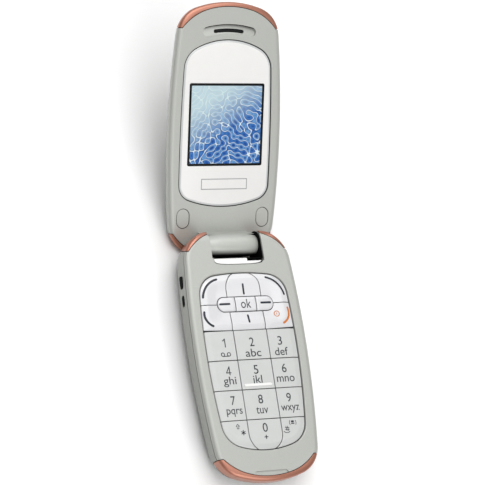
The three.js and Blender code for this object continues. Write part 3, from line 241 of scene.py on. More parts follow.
def carve(form, *tools, how="DIFFERENCE"):
    """Cuts a form by others. All of them are used up, and the cut form is new."""
    for tool in tools:
        pair = []
        for part in (form, tool):
            mesh = bpy.data.meshes.new("form")
            part.to_mesh(mesh)
            part.free()
            pair.append(bpy.data.objects.new("form", mesh))
            bpy.context.scene.collection.objects.link(pair[-1])
        cutter = pair[0].modifiers.new("carve", "BOOLEAN")
        cutter.operation = how
        cutter.solver = "MANIFOLD"
        cutter.object = pair[1]
        cut = pair[0].evaluated_get(bpy.context.evaluated_depsgraph_get())
        form = bmesh.new()
        form.from_mesh(cut.to_mesh())
        cut.to_mesh_clear()
        for part in pair:
            mesh = part.data
            bpy.data.objects.remove(part)
            bpy.data.meshes.remove(mesh)
    return form


def joined(form, *tools):
    """A form with others joined to it."""
    return carve(form, *tools, how="UNION")


def shared(form, *tools):
    """What a form shares with each of the others."""
    return carve(form, *tools, how="INTERSECT")


def quarter_turn(steps):
    """Sine and cosine at even steps from 0 to 90 degrees."""
    return [(math.sin(math.pi / 2 * i / steps), math.cos(math.pi / 2 * i / steps)) for i in range(steps + 1)]


def heel(draw):
    """The phone's plan with its foot drawn in, as lower down on the back."""
    return {**phone_plan, "foot": phone_plan["foot"] + draw, "foot_corner": phone_plan["foot_corner"] + draw}


FACE_ROUND, FACE_DROP = 1.9, 1.25
BACK_DEPTH, BACK_ROUND, SIDE_DEPTH, HEEL_DRAW = 14.5, 6.0, 4.3, 2.0
KNUCKLE_RADIUS = 5.7
AXIS = -KNUCKLE_RADIUS  # height of the hinge line
BACK_WALL = -3.1  # the back ends this far before the hinge line
levels = [(heel(c * HEEL_DRAW), BACK_ROUND * (1 - s), -SIDE_DEPTH * (1 - c) - BACK_DEPTH * c, -SLOPE * c)
          for s, c in quarter_turn(10)]
levels += [(phone_plan, FACE_ROUND * (1 - s), -FACE_DROP * (1 - c)) for s, c in reversed(quarter_turn(8))]


def keypad_side(behind, radius):
    """The half's side view: a straight part that runs into the round knuckle."""
    return joined(room(y=(-FAR, behind), z=(-FAR, 5)), room(y=(BACK_WALL - 1, 0), z=(AXIS, 5)),
                  rod(-FAR, FAR, radius, 0, AXIS, 128))


keypad_form = shared(loft(levels), keypad_side(BACK_WALL, KNUCKLE_RADIUS))

# Trims of the keypad half
# Three thin polycarbonate strips, clipped into a step round the foot and over each shoulder: the parts of the
# form outside one line, which runs off the sides of the phone. Their copper lacquer has coarse flakes and a gloss.
FLAKES, CLOUDS, PEEL = 3300.0, 60.0, 1100.0  # to the metre: 0.3, 17 and 0.9 mm across


def lacquer(name, colour, dark, metallic, roughness, flake_depth, over=None):
    """A metallic lacquer: flakes under a satin clear coat, faintly orange-peeled. Flakes are about 0.05 mm across,
    too fine to show, and are drawn 0.3 mm across. Where over is given, it lays another tint over them."""
    material, tree, spot = new_material(name)
    flake = add_node(tree, "TexNoise", {"Vector": spot, "Scale": FLAKES, "Detail": 2.0})
    tint = add_node(tree, "Mix", {0: (flake, "Fac"), 6: linear(colour), 7: linear(dark)}, data_type="RGBA")
    if over:
        tint = over(tree, spot, tint)
    cloud = add_node(tree, "TexNoise", {"Vector": spot, "Scale": CLOUDS})
    gloss = add_node(tree, "MapRange", {"Value": (cloud, "Fac"), "To Min": roughness - 0.04,
                                        "To Max": roughness + 0.04})
    peel = add_node(tree, "TexNoise", {"Vector": spot, "Scale": PEEL})
    relief = add_node(tree, "Bump", {"Height": (peel, "Fac"), "Strength": flake_depth, "Distance": 0.00003})
    shader = add_node(tree, "BsdfPrincipled", {"Base Color": (tint, 2), "Metallic": metallic,
                                               "Roughness": (gloss, "Result"), "Coat Weight": 0.25,
                                               "Coat Roughness": 0.2, "Normal": (relief, "Normal")})
    add_node(tree, "OutputMaterial", {"Surface": (shader, "BSDF")})
    return material


copper = lacquer("copper_lacquer", "#BC816C", "#A56D59", 0.6, 0.34, 0.2)
resting = Matrix.Translation((0, 0.0028517, 0.0144833)) @ Matrix.Rotation(TILT, 4, "X")
keypad_place = resting @ Matrix.Scale(0.001, 4)
places = {}  # of the bodies that are drawn in a place of their own


def upright(plan, inset, low, high):
    """A plan drawn straight up between two heights."""
    return loft([(plan, inset, low), (plan, inset, high)])


def side_view(points, x0, x1):
    """A shape seen from the side, given by its y and z, drawn along X."""
    form = slab(points, x0, x1)
    turn = Matrix(((0, 0, 1), (1, 0, 0), (0, 1, 0)))
    bmesh.ops.rotate(form, verts=form.verts, matrix=turn)
    bmesh.ops.recalc_face_normals(form, faces=form.faces)
    return form


def fit(name, form, material, body, stands_for=(), finish="silver_paint", edge=0.12, sharp=35, smooth=True):
    """Puts a finished form in its body's place as a piece, with softened edges, to ride on that body."""
    bmesh.ops.remove_doubles(form, verts=form.verts, dist=0.02)
    bmesh.ops.dissolve_degenerate(form, edges=form.edges, dist=0.02)
    bmesh.ops.transform(form, matrix=places.get(body, keypad_place), verts=form.verts)
    for face in form.faces:
        face.smooth = smooth
    mesh = bpy.data.meshes.new(name)
    form.to_mesh(mesh)
    form.free()
    mesh.materials.append(material)
    piece = bpy.data.objects.new(name, mesh)
    bpy.context.scene.collection.objects.link(piece)
    if edge:
        soft = piece.modifiers.new("edges", "BEVEL")
        soft.width = edge / 1000
        soft.segments = 2
        soft.limit_method = "ANGLE"
        soft.angle_limit = math.radians(sharp)
        soft.use_clamp_overlap = True
        even = piece.modifiers.new("shading", "WEIGHTED_NORMAL")
        even.mode = "FACE_AREA"
        even.weight = 60
    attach(piece, body)
    if stands_for:
        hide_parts(*stands_for)


SEAM = 0.26
NOTCH_HALF = 10.1
FOOT_TRIM_START, FOOT_TRIM_DEPTH = -77.8, 6.3
SHOULDER_TRIM_START, SHOULDER_TRIM_DEPTH, SHOULDER_TRIM_LEAN = -3.2, 8.3, 0.3
trim_plan = {**phone_plan, "half_width": 23.8, "foot": -84.5, "foot_radius": 33.0, "foot_corner": 19.7,
             "head": 4.5, "head_radius": 66.0, "head_corner": 19.4}


def beyond_trim_line(gap, low, high):
    return carve(upright(phone_plan, -2.0, low, high), upright(trim_plan, gap, low - 1, high + 1))


def foot_zone(gap):
    return shared(beyond_trim_line(gap, -FOOT_TRIM_DEPTH - gap, 2), room(y=(-FAR, FOOT_TRIM_START + gap)))


def beside_notch(side, gap):
    """The limits in X of what lies to one side of the notch."""
    inner = NOTCH_HALF + 0.3 - gap
    return (inner, FAR) if side > 0 else (-FAR, -inner)


def shoulder_zone(side, gap):
    lean = [(SHOULDER_TRIM_START - gap - z * SHOULDER_TRIM_LEAN, z) for z in (2, -30)] + [(FAR, -30), (FAR, 2)]
    return shared(beyond_trim_line(gap, -SHOULDER_TRIM_DEPTH - gap, 2), side_view(lean, *beside_notch(side, gap)))


def trim_zones(gap=SEAM):
    """The places of the three trims, with a gap round them."""
    return foot_zone(gap), shoulder_zone(-1, gap), shoulder_zone(1, gap)


SIDES = ((-1, "left"), (1, "right"))
for side, name in SIDES:
    strip = shared(keypad_form.copy(), shoulder_zone(side, 0))
    fit(f"shoulder_trim_{name}", strip, copper, "base", [f"base_shoulder_trim_{name}"], "copper_paint")
strip = shared(keypad_form.copy(), foot_zone(0))
fit("foot_trim", strip, copper, "base", ["base_foot_trim"], "copper_paint")

# Face plate
# The upper moulding, in a satin silver lacquer with fine flakes: a frame round the keys with a rounded opening, a
# notch for the hinge barrel with a sloping lip before it, and a shallow thumb recess at the foot.
silver = lacquer("silver_lacquer", "#B9BAB5", "#ACAEA8", 0.3, 0.44, 0.15)
NOTCH_FOOT, NOTCH_STEP = -6.1, -7.2


def notch_tools():
    return (block(-NOTCH_HALF, NOTCH_HALF, NOTCH_FOOT, FAR, -11, 2),
            block(-NOTCH_HALF, NOTCH_HALF, BACK_WALL, FAR, -FAR, 2),
            block(3.6, NOTCH_HALF, NOTCH_STEP, FAR, -5, 2))


pad_plan = {"half_width": 17.86, "widest": -38.0, "side_radius": 250.0, "foot": -75.4, "foot_radius": 33.0,
            "foot_corner": 8.8, "head": -11.5, "head_radius": 80.0, "head_corner": 7.8}
RIM = 0.45
HAIR = 0.02  # keeps two surfaces just apart
opening = loft([(pad_plan, 0, -FAR)] + [(pad_plan, -RIM * (1 - c), -RIM * (1 - s)) for s, c in quarter_turn(6)]
               + [(pad_plan, -RIM - HAIR, 1.0)])
LIP_HALF, LIP_END, LIP_BOW = 9.5, -7.3, 1.2
lip_line = []
for step in range(25):
    across = -1 + step / 12
    lip_line.append((across * LIP_HALF, LIP_END - LIP_BOW * math.sqrt(max(0, 1 - across ** 4))))


def lip_outline(share, shift, end):
    """The scoop of the lip, made wider or narrower and moved along the phone."""
    return [(x * share, y + shift) for x, y in lip_line] + [(LIP_HALF * share, end), (-LIP_HALF * share, end)]


def lip_slice(heights):
    """A side view from the foot of the lip to the notch."""
    return side_view(list(zip((-9.0, -5.0, -5.0, -9.0), heights)), -FAR, FAR)


inner_line, outer_line = lip_outline(0.975, 0.2, -5.0), lip_outline(1.02, -0.1, -5.1)
lip = shared(slab(lip_outline(1, 0, -5.1), -2, 2), lip_slice((-0.3, -1.2, 2, 2)))
lip_groove = carve(slab(outer_line, -0.95, 2), slab(inner_line, -2, 3))
thumb = block(-6.6, 6.6, -FAR, -82.6, -0.5, 2, 1.2, (2, 3))
plate = shared(keypad_form.copy(), room(z=(-FACE_DROP, FAR)))
plate = carve(plate, opening, *notch_tools(), lip, lip_groove, thumb, *trim_zones())
fit("face_plate", plate, silver, "base", ["base_front_housing"])


# Painted shade in the hinge
# A liner in black ABS behind the barrel, the floor and wall of the notch, and a round cheek on each knuckle's
# face, all black to stand for the deep shade there. A white polycarbonate insert lines the lip as a painted
# highlight, set off by a black groove that is a painted shadow line.
def moulded(name, colour, dark, roughness, grain_mm, grain_depth, specular=0.5, coat=0.0, coat_roughness=0.03):
    """A moulded plastic or the like: a faint change of tone about every 4 mm, a grain and perhaps a gloss."""
    material, tree, spot = new_material(name)
    tone = add_node(tree, "TexNoise", {"Vector": spot, "Scale": 250.0, "Detail": 3.0})
    tint = add_node(tree, "Mix", {0: (tone, "Fac"), 6: linear(colour), 7: linear(dark)}, data_type="RGBA")
    grain = add_node(tree, "TexNoise", {"Vector": spot, "Scale": 1000 / grain_mm})
    relief = add_node(tree, "Bump", {"Height": (grain, "Fac"), "Strength": grain_depth, "Distance": 0.00002})
    shader = add_node(tree, "BsdfPrincipled", {"Base Color": (tint, 2), "Roughness": roughness,
                                               "Normal": (relief, "Normal"), "Specular IOR Level": specular,
                                               "Coat Weight": coat, "Coat Roughness": coat_roughness})
    add_node(tree, "OutputMaterial", {"Surface": (shader, "BSDF")})
    return material


# Bare black ABS for the dark parts, and the same black used as painted shade in the hinge notch and the earpiece
# recess.
black_plastic_and_painted_shade = moulded("black_abs_and_painted_shade", "#0B0C0D", "#070808", 0.8, 0.4, 0.3, specular=0.1)


def together(forms):
    """Several forms as one."""
    made = bmesh.new()
    for form in forms:
        mesh = bpy.data.meshes.new("form")
        form.to_mesh(mesh)
        form.free()
        made.from_mesh(mesh)
        bpy.data.meshes.remove(mesh)
    return made


def dark_part(name, form, body, edge=0.0, **more):
    """A piece in bare black plastic or rubber, or a black piece that stands for shade."""
    fit(name, form, black_plastic_and_painted_shade, body, finish="dark_plastic", edge=edge, **more)


shade_liner = carve(block(-9.95, 9.95, NOTCH_FOOT, -3.15, -10.9, -1.6), room(y=(-5.85, FAR), z=(-10.65, FAR)))
lip_insert = shared(slab(inner_line, -2, 2), lip_slice((-0.28, -1.18, -0.95, -0.1)))
lip_insert = carve(lip_insert, *notch_tools())
# A white plastic that stands for the light on the lip and on the locating ridge: a painted highlight.
highlight_white_plastic = moulded("white_polycarbonate_highlight", "#F1F1EF", "#EAEAE8", 0.3, 0.5, 0.04)
fit("hinge_lip", lip_insert, highlight_white_plastic, "base", edge=0.05)
# A black strip in the groove before the lip: a painted shadow line.
groove_painted_shadow = carve(slab(outer_line, -0.93, -0.6), slab(inner_line, -2, 3), room(y=(LIP_END, FAR), z=(-3, 3)))
dark_part("hinge_shade_liner", together((shade_liner, groove_painted_shadow)), "base", 0.05)
# The black cheeks are painted shade on the side walls of the notch.
for side, name in SIDES:
    inner, outer = sorted((side * (NOTCH_HALF - 0.15), side * NOTCH_HALF))
    cheek = joined(rod(inner, outer, 4.9, 0, AXIS), block(-FAR, FAR, NOTCH_FOOT, 0, -10.6, -0.9, 0.6))
    cheek = shared(cheek, room((inner, outer), (NOTCH_FOOT, FAR)))
    dark_part(f"knuckle_cheek_{name}", cheek, "base", 0.04)


# Back shell
# The lower moulding, in the silver lacquer painted a tone darker as shade on its walls, and hollow under the
# keys, with two strap eyes in its left wall, a charging hole in its right wall, slots for the loudspeaker and two
# screw wells. Its lower end is cut away for the battery cover.
def at_back(form):
    """Slopes a form's heights, so that they count from the back of the keypad half."""
    for v in form.verts:
        v.co.z += -BACK_DEPTH - SLOPE * v.co.y
    return form


def upright_rod(x, y, radius, z0, z1):
    form = bmesh.new()
    bmesh.ops.create_cone(form, cap_ends=True, segments=48, radius1=radius, radius2=radius, depth=z1 - z0)
    bmesh.ops.translate(form, verts=form.verts, vec=(x, y, (z0 + z1) / 2))
    return form


def wall_hole(x0, x1, y0, y1, z0, z1, rounding):
    """A block whose long edges across the wall are rounded, for a hole in a side wall."""
    form = block(x0, x1, y0, y1, z0, z1)
    across = [e for e in form.edges if abs(e.verts[0].co.x - e.verts[1].co.x) > 1]
    round_off(form, across, rounding, 5)
    return form


WALL = 1.6
HOUSING_SEAM = 0.42  # between the two mouldings
CAVITY_HEAD = -9.3  # the hollow ends here, before the knuckles
BAY_HEAD, BAY_INSET = -26.0, 3.3
COVER_RIM, COVER_GAP = 3.5, 0.26
HEAD_ROOM, SHANK_ROOM = 1.8, 1.1  # radii of the holes for the screws
SCREW_X, SCREW_Y = 14, -6.2
SOUND_SLOTS = -17.8
cavity = shared(loft([(phone_plan, WALL, -BACK_DEPTH + 6, -SLOPE), (phone_plan, WALL, 2)]),
                room(y=(-FAR, CAVITY_HEAD)))
chamber = at_back(block(-16.1, 16.1, BAY_HEAD + WALL, CAVITY_HEAD, 1.3, 12))
bay = shared(loft([(phone_plan, BAY_INSET, -BACK_DEPTH + height, -SLOPE) for height in (-1, 5)]),
             room(y=(-FAR, BAY_HEAD - WALL)))
cover_room = at_back(room(y=(-FAR, BAY_HEAD + COVER_GAP), z=(-FAR, COVER_RIM + COVER_GAP)))
STRAP_EYES = ((13.4, 4.7), (20.1, 4.3))  # middle and length of each
STRAP_LOW, STRAP_HIGH, STRAP_INSIDE = -5.9, -3.5, -18.2
eyes = [wall_hole(-FAR, STRAP_INSIDE, -middle - length / 2, -middle + length / 2, STRAP_LOW, STRAP_HIGH, 1.1)
        for middle, length in STRAP_EYES]
tunnel = block(-19.4, STRAP_INSIDE, -22.25, -11.05, STRAP_LOW, STRAP_HIGH)
strap_wall = shared(keypad_form.copy(), block(-FAR, -17.4, -23.05, -10.25, -6.2, -3.2))
charging = wall_hole(15, FAR, -20.8, -13.2, -6.4, -4.4, 0.7)
sound = [at_back(block(3.5, 10.5, SOUND_SLOTS + row * 2.2 - 0.45, SOUND_SLOTS + row * 2.2 + 0.45, -1, 3.5, 0.44))
         for row in (-1, 0, 1)]
well_floor = -BACK_DEPTH - SLOPE * SCREW_Y + WALL
wells = [joined(upright_rod(side * SCREW_X, SCREW_Y, HEAD_ROOM, -FAR, well_floor),
                upright_rod(side * SCREW_X, SCREW_Y, SHANK_ROOM, well_floor - 1, -6)) for side in (-1, 1)]
pivot = rod(-12.6, 12.6, 2.0, 0, AXIS)
# A darker copy of the silver lacquer: painted shade for the shell's side walls and the other rear mouldings.
painted_shade_silver = lacquer("darker_silver_lacquer_painted_shade", "#9C9E98", "#90928C", 0.3, 0.44, 0.15)
shell = shared(keypad_form.copy(), room(z=(-FAR, -FACE_DROP - HOUSING_SEAM)))
shell = joined(carve(shell, cavity, chamber, bay, cover_room), strap_wall)
shell = carve(shell, *notch_tools(), *trim_zones(), *eyes, tunnel, charging, *sound, pivot, *wells)
fit("back_shell", shell, painted_shade_silver, "base", ["base_rear_housing"])

# Battery cover
# A lacquered polycarbonate tray over the lower back and round the foot, moulded hollow. It slides off towards
# the foot.
cover = shared(keypad_form.copy(), at_back(room(y=(-FAR, BAY_HEAD), z=(-FAR, COVER_RIM))))
tray_levels = ((heel(HEEL_DRAW), 6.5, -BACK_DEPTH + 1, -SLOPE), (heel(1.0), BAY_INSET, -BACK_DEPTH + 4.5, -SLOPE))
cover = carve(cover, loft(tray_levels))
fit("battery_cover_tray", cover, painted_shade_silver, "battery_cover", ["battery_cover"])

# Keys
# Twenty-one polycarbonate caps on one rubber web. The keypad is one low dome parted by 0.3 mm lines: its rim
# slopes down 2 mm wide round the outside. The upper group is dished, and the crowned pill stands up in the dish.
GAP = 0.3
HALF = GAP / 2
KEY_FOOT = -0.9  # the caps reach down to here
pearl = moulded("pearl_polycarbonate", "#DADADC", "#D4D4D6", 0.3, 0.5, 0.04, 0.8, 1.0, 0.14)
cloud = moulded("clouded_polycarbonate", "#C8CAC8", "#C1C3C1", 0.34, 0.5, 0.05, 0.6, 0.6, 0.2)


def drawn_in(plan, inset, foot_corner=None):
    """A plan drawn in by an inset, with its own foot corner where one is given."""
    made = dict(plan)
    made["foot"] += inset
    for part in ("half_width", "side_radius", "head", "foot_radius", "head_radius", "head_corner", "foot_corner"):
        made[part] -= inset
    if foot_corner is not None:
        made["foot_corner"] = foot_corner
    return made


MARGIN = ((0.0, -0.55), (0.1, -0.42), (0.4, -0.32), (1.2, -0.12), (1.8, 0.04), (2.2, 0.1))  # inset and height
DISH = ((3.0, 0.05), (4.0, -0.1), (5.2, -0.24), (6.2, -0.3))
FIRST_ROW, PITCH, COLUMN, NAV_LINE = -32.47, 10.6725, 6.465, -23.0
number_form = loft([(drawn_in(pad_plan, GAP), 0, KEY_FOOT)]
                   + [(drawn_in(pad_plan, GAP + inset), 0, z) for inset, z in MARGIN])
nav_plan = {**pad_plan, "foot": FIRST_ROW + HALF, "foot_radius": 400.0}
nav_levels = []
for inset, z in ((0.0, KEY_FOOT),) + MARGIN + DISH:
    level = drawn_in(nav_plan, GAP + inset, min(0.4 + 1.3 * inset, 3.0))
    level["foot"] = nav_plan["foot"] + inset
    nav_levels.append((level, 0, z))
nav_form = loft(nav_levels)


def pill(grow, levels=((0, -3), (0, 3))):
    """The stadium of the left, ok and right keys."""
    plan = {"half_width": 10.93, "widest": NAV_LINE, "side_radius": 2.9,
            "foot": NAV_LINE - 2.72, "foot_radius": 900.0, "foot_corner": 2.6,
            "head": NAV_LINE + 2.72, "head_radius": 900.0, "head_corner": 2.6}
    return loft([(drawn_in(plan, inset - grow), 0, z) for inset, z in levels])


def bullet(half_width, radius, shoulder, base, grow):
    """Straight sides from a base that turn in past a shoulder, as on the up and zero keys."""
    end = shoulder + math.copysign(radius + grow, shoulder - base)
    wide = half_width + grow
    return slab([(wide, base), (wide, end), (-wide, end), (-wide, base)], -3, 3, radius + grow, (1, 2))


def cell(x0, x1, y0, y1):
    return block(x0 + HALF, x1 - HALF, y0 + HALF, y1 - HALF, -3, 3)


def key(name, source, limits, cuts=(), plastic=pearl, finish="key_plastic"):
    cap = carve(shared(source.copy(), *limits), *cuts)
    fit(f"cap_{name}", cap, plastic, name, [name], finish, edge=0.1, sharp=40)


def number_key(name, limits, cuts=()):
    key(name, number_form, limits, cuts, cloud, "number_key_plastic")


row_line = [FIRST_ROW - row * PITCH for row in range(5)]
columns = ((-FAR, -COLUMN), (-COLUMN, COLUMN), (COLUMN, FAR))
up_sizes = (6.645, 6.045, -17.2, NAV_LINE)
OK_HALF = 4.05
crown = ((0, KEY_FOOT), (0, -0.12), (0.12, -0.02), (0.4, 0.08), (0.8, 0.16), (1.3, 0.22), (1.8, 0.25), (2.2, 0.26))
pill_form = pill(-HALF, crown)
key("softkey_left", nav_form, [cell(-FAR, HALF, NAV_LINE, 0)], [pill(HALF), bullet(*up_sizes, HALF)])
key("softkey_right", nav_form, [cell(-HALF, FAR, NAV_LINE, 0)], [pill(HALF), bullet(*up_sizes, HALF)])
key("call_key", nav_form, [cell(*columns[0], FIRST_ROW, NAV_LINE)], [pill(HALF)])
key("end_key", nav_form, [cell(*columns[2], FIRST_ROW, NAV_LINE)], [pill(HALF)])
key("nav_up", nav_form, [bullet(*up_sizes, -HALF)], [pill(HALF)])
key("nav_down", nav_form, [cell(*columns[1], FIRST_ROW, NAV_LINE)], [pill(HALF)])
for name, limits in (("nav_left", (-FAR, -OK_HALF - HALF)), ("ok_key", (-OK_HALF + HALF, OK_HALF - HALF)),
                     ("nav_right", (OK_HALF + HALF, FAR))):
    key(name, pill_form, [room(limits, z=(-3, 3))])
for digit in range(9):
    row = digit // 3
    number_key(f"key_{digit + 1}", [cell(*columns[digit % 3], row_line[row + 1], row_line[row])])
zero_sizes = (COLUMN, 6.195, -69.6)
below = (-FAR, row_line[3])
number_key("key_star", [cell(-FAR, HALF, *below)], [bullet(*zero_sizes, -60, HALF)])
number_key("key_0", [bullet(*zero_sizes, row_line[3] - HALF, -HALF)])
number_key("key_hash", [cell(-HALF, FAR, *below)], [bullet(*zero_sizes, -60, HALF)])


# Legends
# Pad-printed ink on the caps: digits and letters in grey, call and function marks as thick round-ended strokes
# in navy and one in orange. Each lies 0.03 mm over its cap and follows it.
def ink(name, colour, dark):
    """A printed ink: matt, with the faint unevenness of the pad, 0.7 mm across."""
    material, tree, spot = new_material(name)
    patch = add_node(tree, "TexNoise", {"Vector": spot, "Scale": 1500.0, "Detail": 2.0})
    tint = add_node(tree, "Mix", {0: (patch, "Fac"), 6: linear(colour), 7: linear(dark)}, data_type="RGBA")
    shader = add_node(tree, "BsdfPrincipled", {"Base Color": (tint, 2), "Roughness": 0.45})
    add_node(tree, "OutputMaterial", {"Surface": (shader, "BSDF")})
    return material


grey_ink = ink("grey_ink", "#2C3137", "#22262B")
navy_ink = ink("navy_ink", "#18202F", "#121925")
orange_ink = ink("orange_ink", "#D07A2E", "#C26A2C")
caps = {"nav": BVHTree.FromBMesh(nav_form), "pill": BVHTree.FromBMesh(pill_form),
        "number": BVHTree.FromBMesh(number_form)}


def extent(form, axis):
    """The lowest and highest place of a form along an axis."""
    found = [v.co[axis] for v in form.verts]
    return min(found), max(found)


def lettering(text, x, y, height, width):
    """Flat lettering about a point, drawn to a height and a width."""
    curve = bpy.data.curves.new("legend", "FONT")
    curve.body = text
    curve.offset = 0.002
    curve.resolution_u = 6
    curve.extrude = 0.01
    written = bpy.data.objects.new("legend", curve)
    bpy.context.scene.collection.objects.link(written)
    form = bmesh.new()
    form.from_mesh(written.evaluated_get(bpy.context.evaluated_depsgraph_get()).to_mesh())
    bpy.data.objects.remove(written)
    bpy.data.curves.remove(curve)
    (left, right), (foot, head) = extent(form, 0), extent(form, 1)
    bmesh.ops.translate(form, verts=form.verts, vec=(-(left + right) / 2, -(foot + head) / 2, 0))
    bmesh.ops.scale(form, verts=form.verts, vec=(width / (right - left), height / (head - foot), 1))
    bmesh.ops.translate(form, verts=form.verts, vec=(x, y, 0))
    return form


def bar(x0, y0, x1, y1, width, rounding=0.49):
    """A straight stroke with round ends."""
    length = math.hypot(x1 - x0, y1 - y0) + width
    form = block(-length / 2, length / 2, -width / 2, width / 2, -0.01, 0.01, width * rounding)
    bmesh.ops.rotate(form, verts=form.verts, matrix=Matrix.Rotation(math.atan2(y1 - y0, x1 - x0), 3, "Z"))
    bmesh.ops.translate(form, verts=form.verts, vec=((x0 + x1) / 2, (y0 + y1) / 2, 0))
    return form


def bow(x, y, radius, width, start, end, low=-0.01, high=0.01, steps=20):
    """A stroke along part of a circle, with round ends. Angles are in degrees."""
    form = bmesh.new()
    ends = [bmesh.ops.create_vert(form, co=(radius + part * width / 2, 0, low))["vert"][0] for part in (-1, 1)]
    first = bmesh.ops.contextual_create(form, geom=ends)["edges"]
    bmesh.ops.rotate(form, verts=ends, matrix=Matrix.Rotation(math.radians(start), 3, "Z"))
    whole = abs(end - start) >= 360
    bmesh.ops.spin(form, geom=ends + first, cent=(0, 0, 0), axis=(0, 0, 1), angle=math.radians(end - start),
                   steps=steps, use_merge=whole)
    if not whole:
        round_off(form, [v for v in form.verts if len(v.link_edges) == 2], width * 0.49, 5, "VERTICES")
    thicken(form, high - low)
    bmesh.ops.translate(form, verts=form.verts, vec=(x, y, 0))
    bmesh.ops.recalc_face_normals(form, faces=form.faces)
    return form


CREASE = 0.3  # a legend on a curved cap is parted this often, so that it can bend


def legend(cap_name, cap, marks, colour=grey_ink, part=""):
    """Lays marks on a cap, straight below where they are drawn."""
    form = together(marks)
    if cap != "number":
        spans = [extent(form, axis) for axis in (0, 1)]
        for axis, (low, high) in enumerate(spans):
            normal = Vector((axis == 0, axis == 1, 0))
            for step in range(1, int((high - low) / CREASE) + 1):
                bmesh.ops.bisect_plane(form, geom=form.verts[:] + form.edges[:] + form.faces[:],
                                       plane_co=normal * (low + CREASE * step), plane_no=normal)
    bmesh.ops.triangulate(form, faces=[f for f in form.faces if len(f.verts) > 4])
    for v in form.verts:
        hit = caps[cap].ray_cast(Vector((v.co.x, v.co.y, 5)), Vector((0, 0, -1)))[0]
        v.co.z += (hit.z if hit else 0.1) + 0.03
    finish = "number_key_plastic" if cap == "number" else "key_plastic"
    fit(f"legend_{cap_name}{part}", form, colour, cap_name, finish=finish, edge=0, smooth=False)


STROKE = 0.78
legend("softkey_left", "nav", [bow(-8.43, -21.32, 7.65, STROKE, 98, 174)], navy_ink)
legend("softkey_right", "nav", [bow(7.44, -21.84, 8.44, STROKE, 79, 10)], navy_ink)
legend("call_key", "nav", [bow(-11.95, -26.41, 4.5, STROKE, 163, 252)], navy_ink)
legend("end_key", "nav", [bow(12.05, -26.44, 4.4, STROKE, 24, -70)], orange_ink)
power = [bow(11.65, -27.03, 0.98, 0.3, 0, 360, steps=32), bar(11.65, -26.75, 11.65, -27.3, 0.26)]
legend("end_key", "nav", power, orange_ink, "_power")
legend("nav_up", "nav", [bar(0.08, -15.9, 0.1, -19.25, 0.7)], navy_ink)
legend("nav_down", "nav", [bar(0.28, -27.2, 0.42, -29.6, 0.7)], navy_ink)
legend("nav_left", "pill", [bar(-9.95, -22.93, -6.45, -22.93, 0.75)], navy_ink)
legend("nav_right", "pill", [bar(6.05, -22.9, 9.55, -22.9, 0.75)], navy_ink)
legend("ok_key", "pill", [lettering("ok", 0, -22.95, 3.3, 3.9)])
DIGIT_HEIGHT = 3.15
digit_lines = (-36.85, -46.8, -57.4)
column_lines = (-10.65, 0.0, 11.0)
words = {  # under each digit, with their height, width and distance below the digit's middle
    2: ("abc", 2.84, 6.0, 3.9), 3: ("def", 2.84, 5.1, 3.9), 4: ("ghi", 3.7, 4.9, 3.9),
    5: ("jkl", 3.7, 3.7, 3.9), 6: ("mno", 2.0, 6.9, 3.95), 7: ("pqrs", 2.76, 6.1, 4.3),
    8: ("tuv", 2.36, 4.6, 3.95), 9: ("wxyz", 2.76, 7.1, 4.2),
}
digit_widths = {2: 1.75, 3: 1.65, 5: 1.75, 6: 1.75, 7: 1.7, 8: 1.8, 9: 1.75}
drawn_digits = {  # the one and the four are drawn in strokes, given by their ends about the middle and their width
    1: ((0.25, -1.4, 0.25, 1.4, 0.36), (0.2, 1.36, -0.5, 0.8, 0.34)),
    4: ((0.4, -1.4, 0.4, 1.4, 0.36), (0.35, 1.35, -0.8, -0.6, 0.34), (-0.8, -0.7, 0.85, -0.7, 0.34)),
}
for number in range(1, 10):
    x, y = column_lines[(number - 1) % 3], digit_lines[(number - 1) // 3]
    if number in drawn_digits:
        marks = [bar(x + x0, y + y0, x + x1, y + y1, width, 0.1) for x0, y0, x1, y1, width in drawn_digits[number]]
    else:
        marks = [lettering(str(number), x, y, DIGIT_HEIGHT, digit_widths[number])]
    if number in words:
        word, height, width, drop = words[number]
        marks.append(lettering(word, x, y - drop, height, width))
    else:  # a tape with its two reels
        marks += [bow(x + side * 1.15, y - 4.1, 0.62, 0.3, 0, 360, steps=24) for side in (-1, 1)]
        marks.append(bar(x - 1.1, y - 4.72, x + 1.1, y - 4.72, 0.28))
    legend(f"key_{number}", "number", marks)
plus = [bar(-0.6, -70.85, 0.6, -70.85, 0.32), bar(0, -70.25, 0, -71.45, 0.32)]
legend("key_0", "number", [lettering("0", 0.08, -67.5, DIGIT_HEIGHT, 1.9)] + plus)
star = []
for turn in (math.pi / 2, math.pi / 6, -math.pi / 6):
    across, along = math.cos(turn) * 0.8, math.sin(turn) * 0.8
    star.append(bar(-8.5 - across, -68.85 - along, -8.5 + across, -68.85 + along, 0.3))
arrow = [(-10.3, -65.8, -10.95, -66.5, 0.22), (-10.3, -65.8, -9.65, -66.5, 0.22), (-10.95, -66.5, -10.6, -66.5, 0.2),
         (-9.65, -66.5, -10.0, -66.5, 0.2), (-10.6, -66.5, -10.6, -67.4, 0.2), (-10.0, -66.5, -10.0, -67.4, 0.2),
         (-10.6, -67.4, -10.0, -67.4, 0.2)]
legend("key_star", "number", star + [bar(*stroke) for stroke in arrow])
hash_strokes = [(8.1, -67.6, 8.35, -69.2, 0.22), (8.7, -67.6, 8.95, -69.2, 0.22), (7.75, -68.1, 9.3, -68.1, 0.22),
                (7.8, -68.7, 9.35, -68.7, 0.22)]
bell = [(10.7, -66.0, 11.2, -66.0, 0.7), (10.5, -66.7, 11.4, -66.7, 0.4)]
waves = [bow(11.0, -66.4, 1.3, 0.2, start, start + 80, steps=8) for start in (140, -40)]
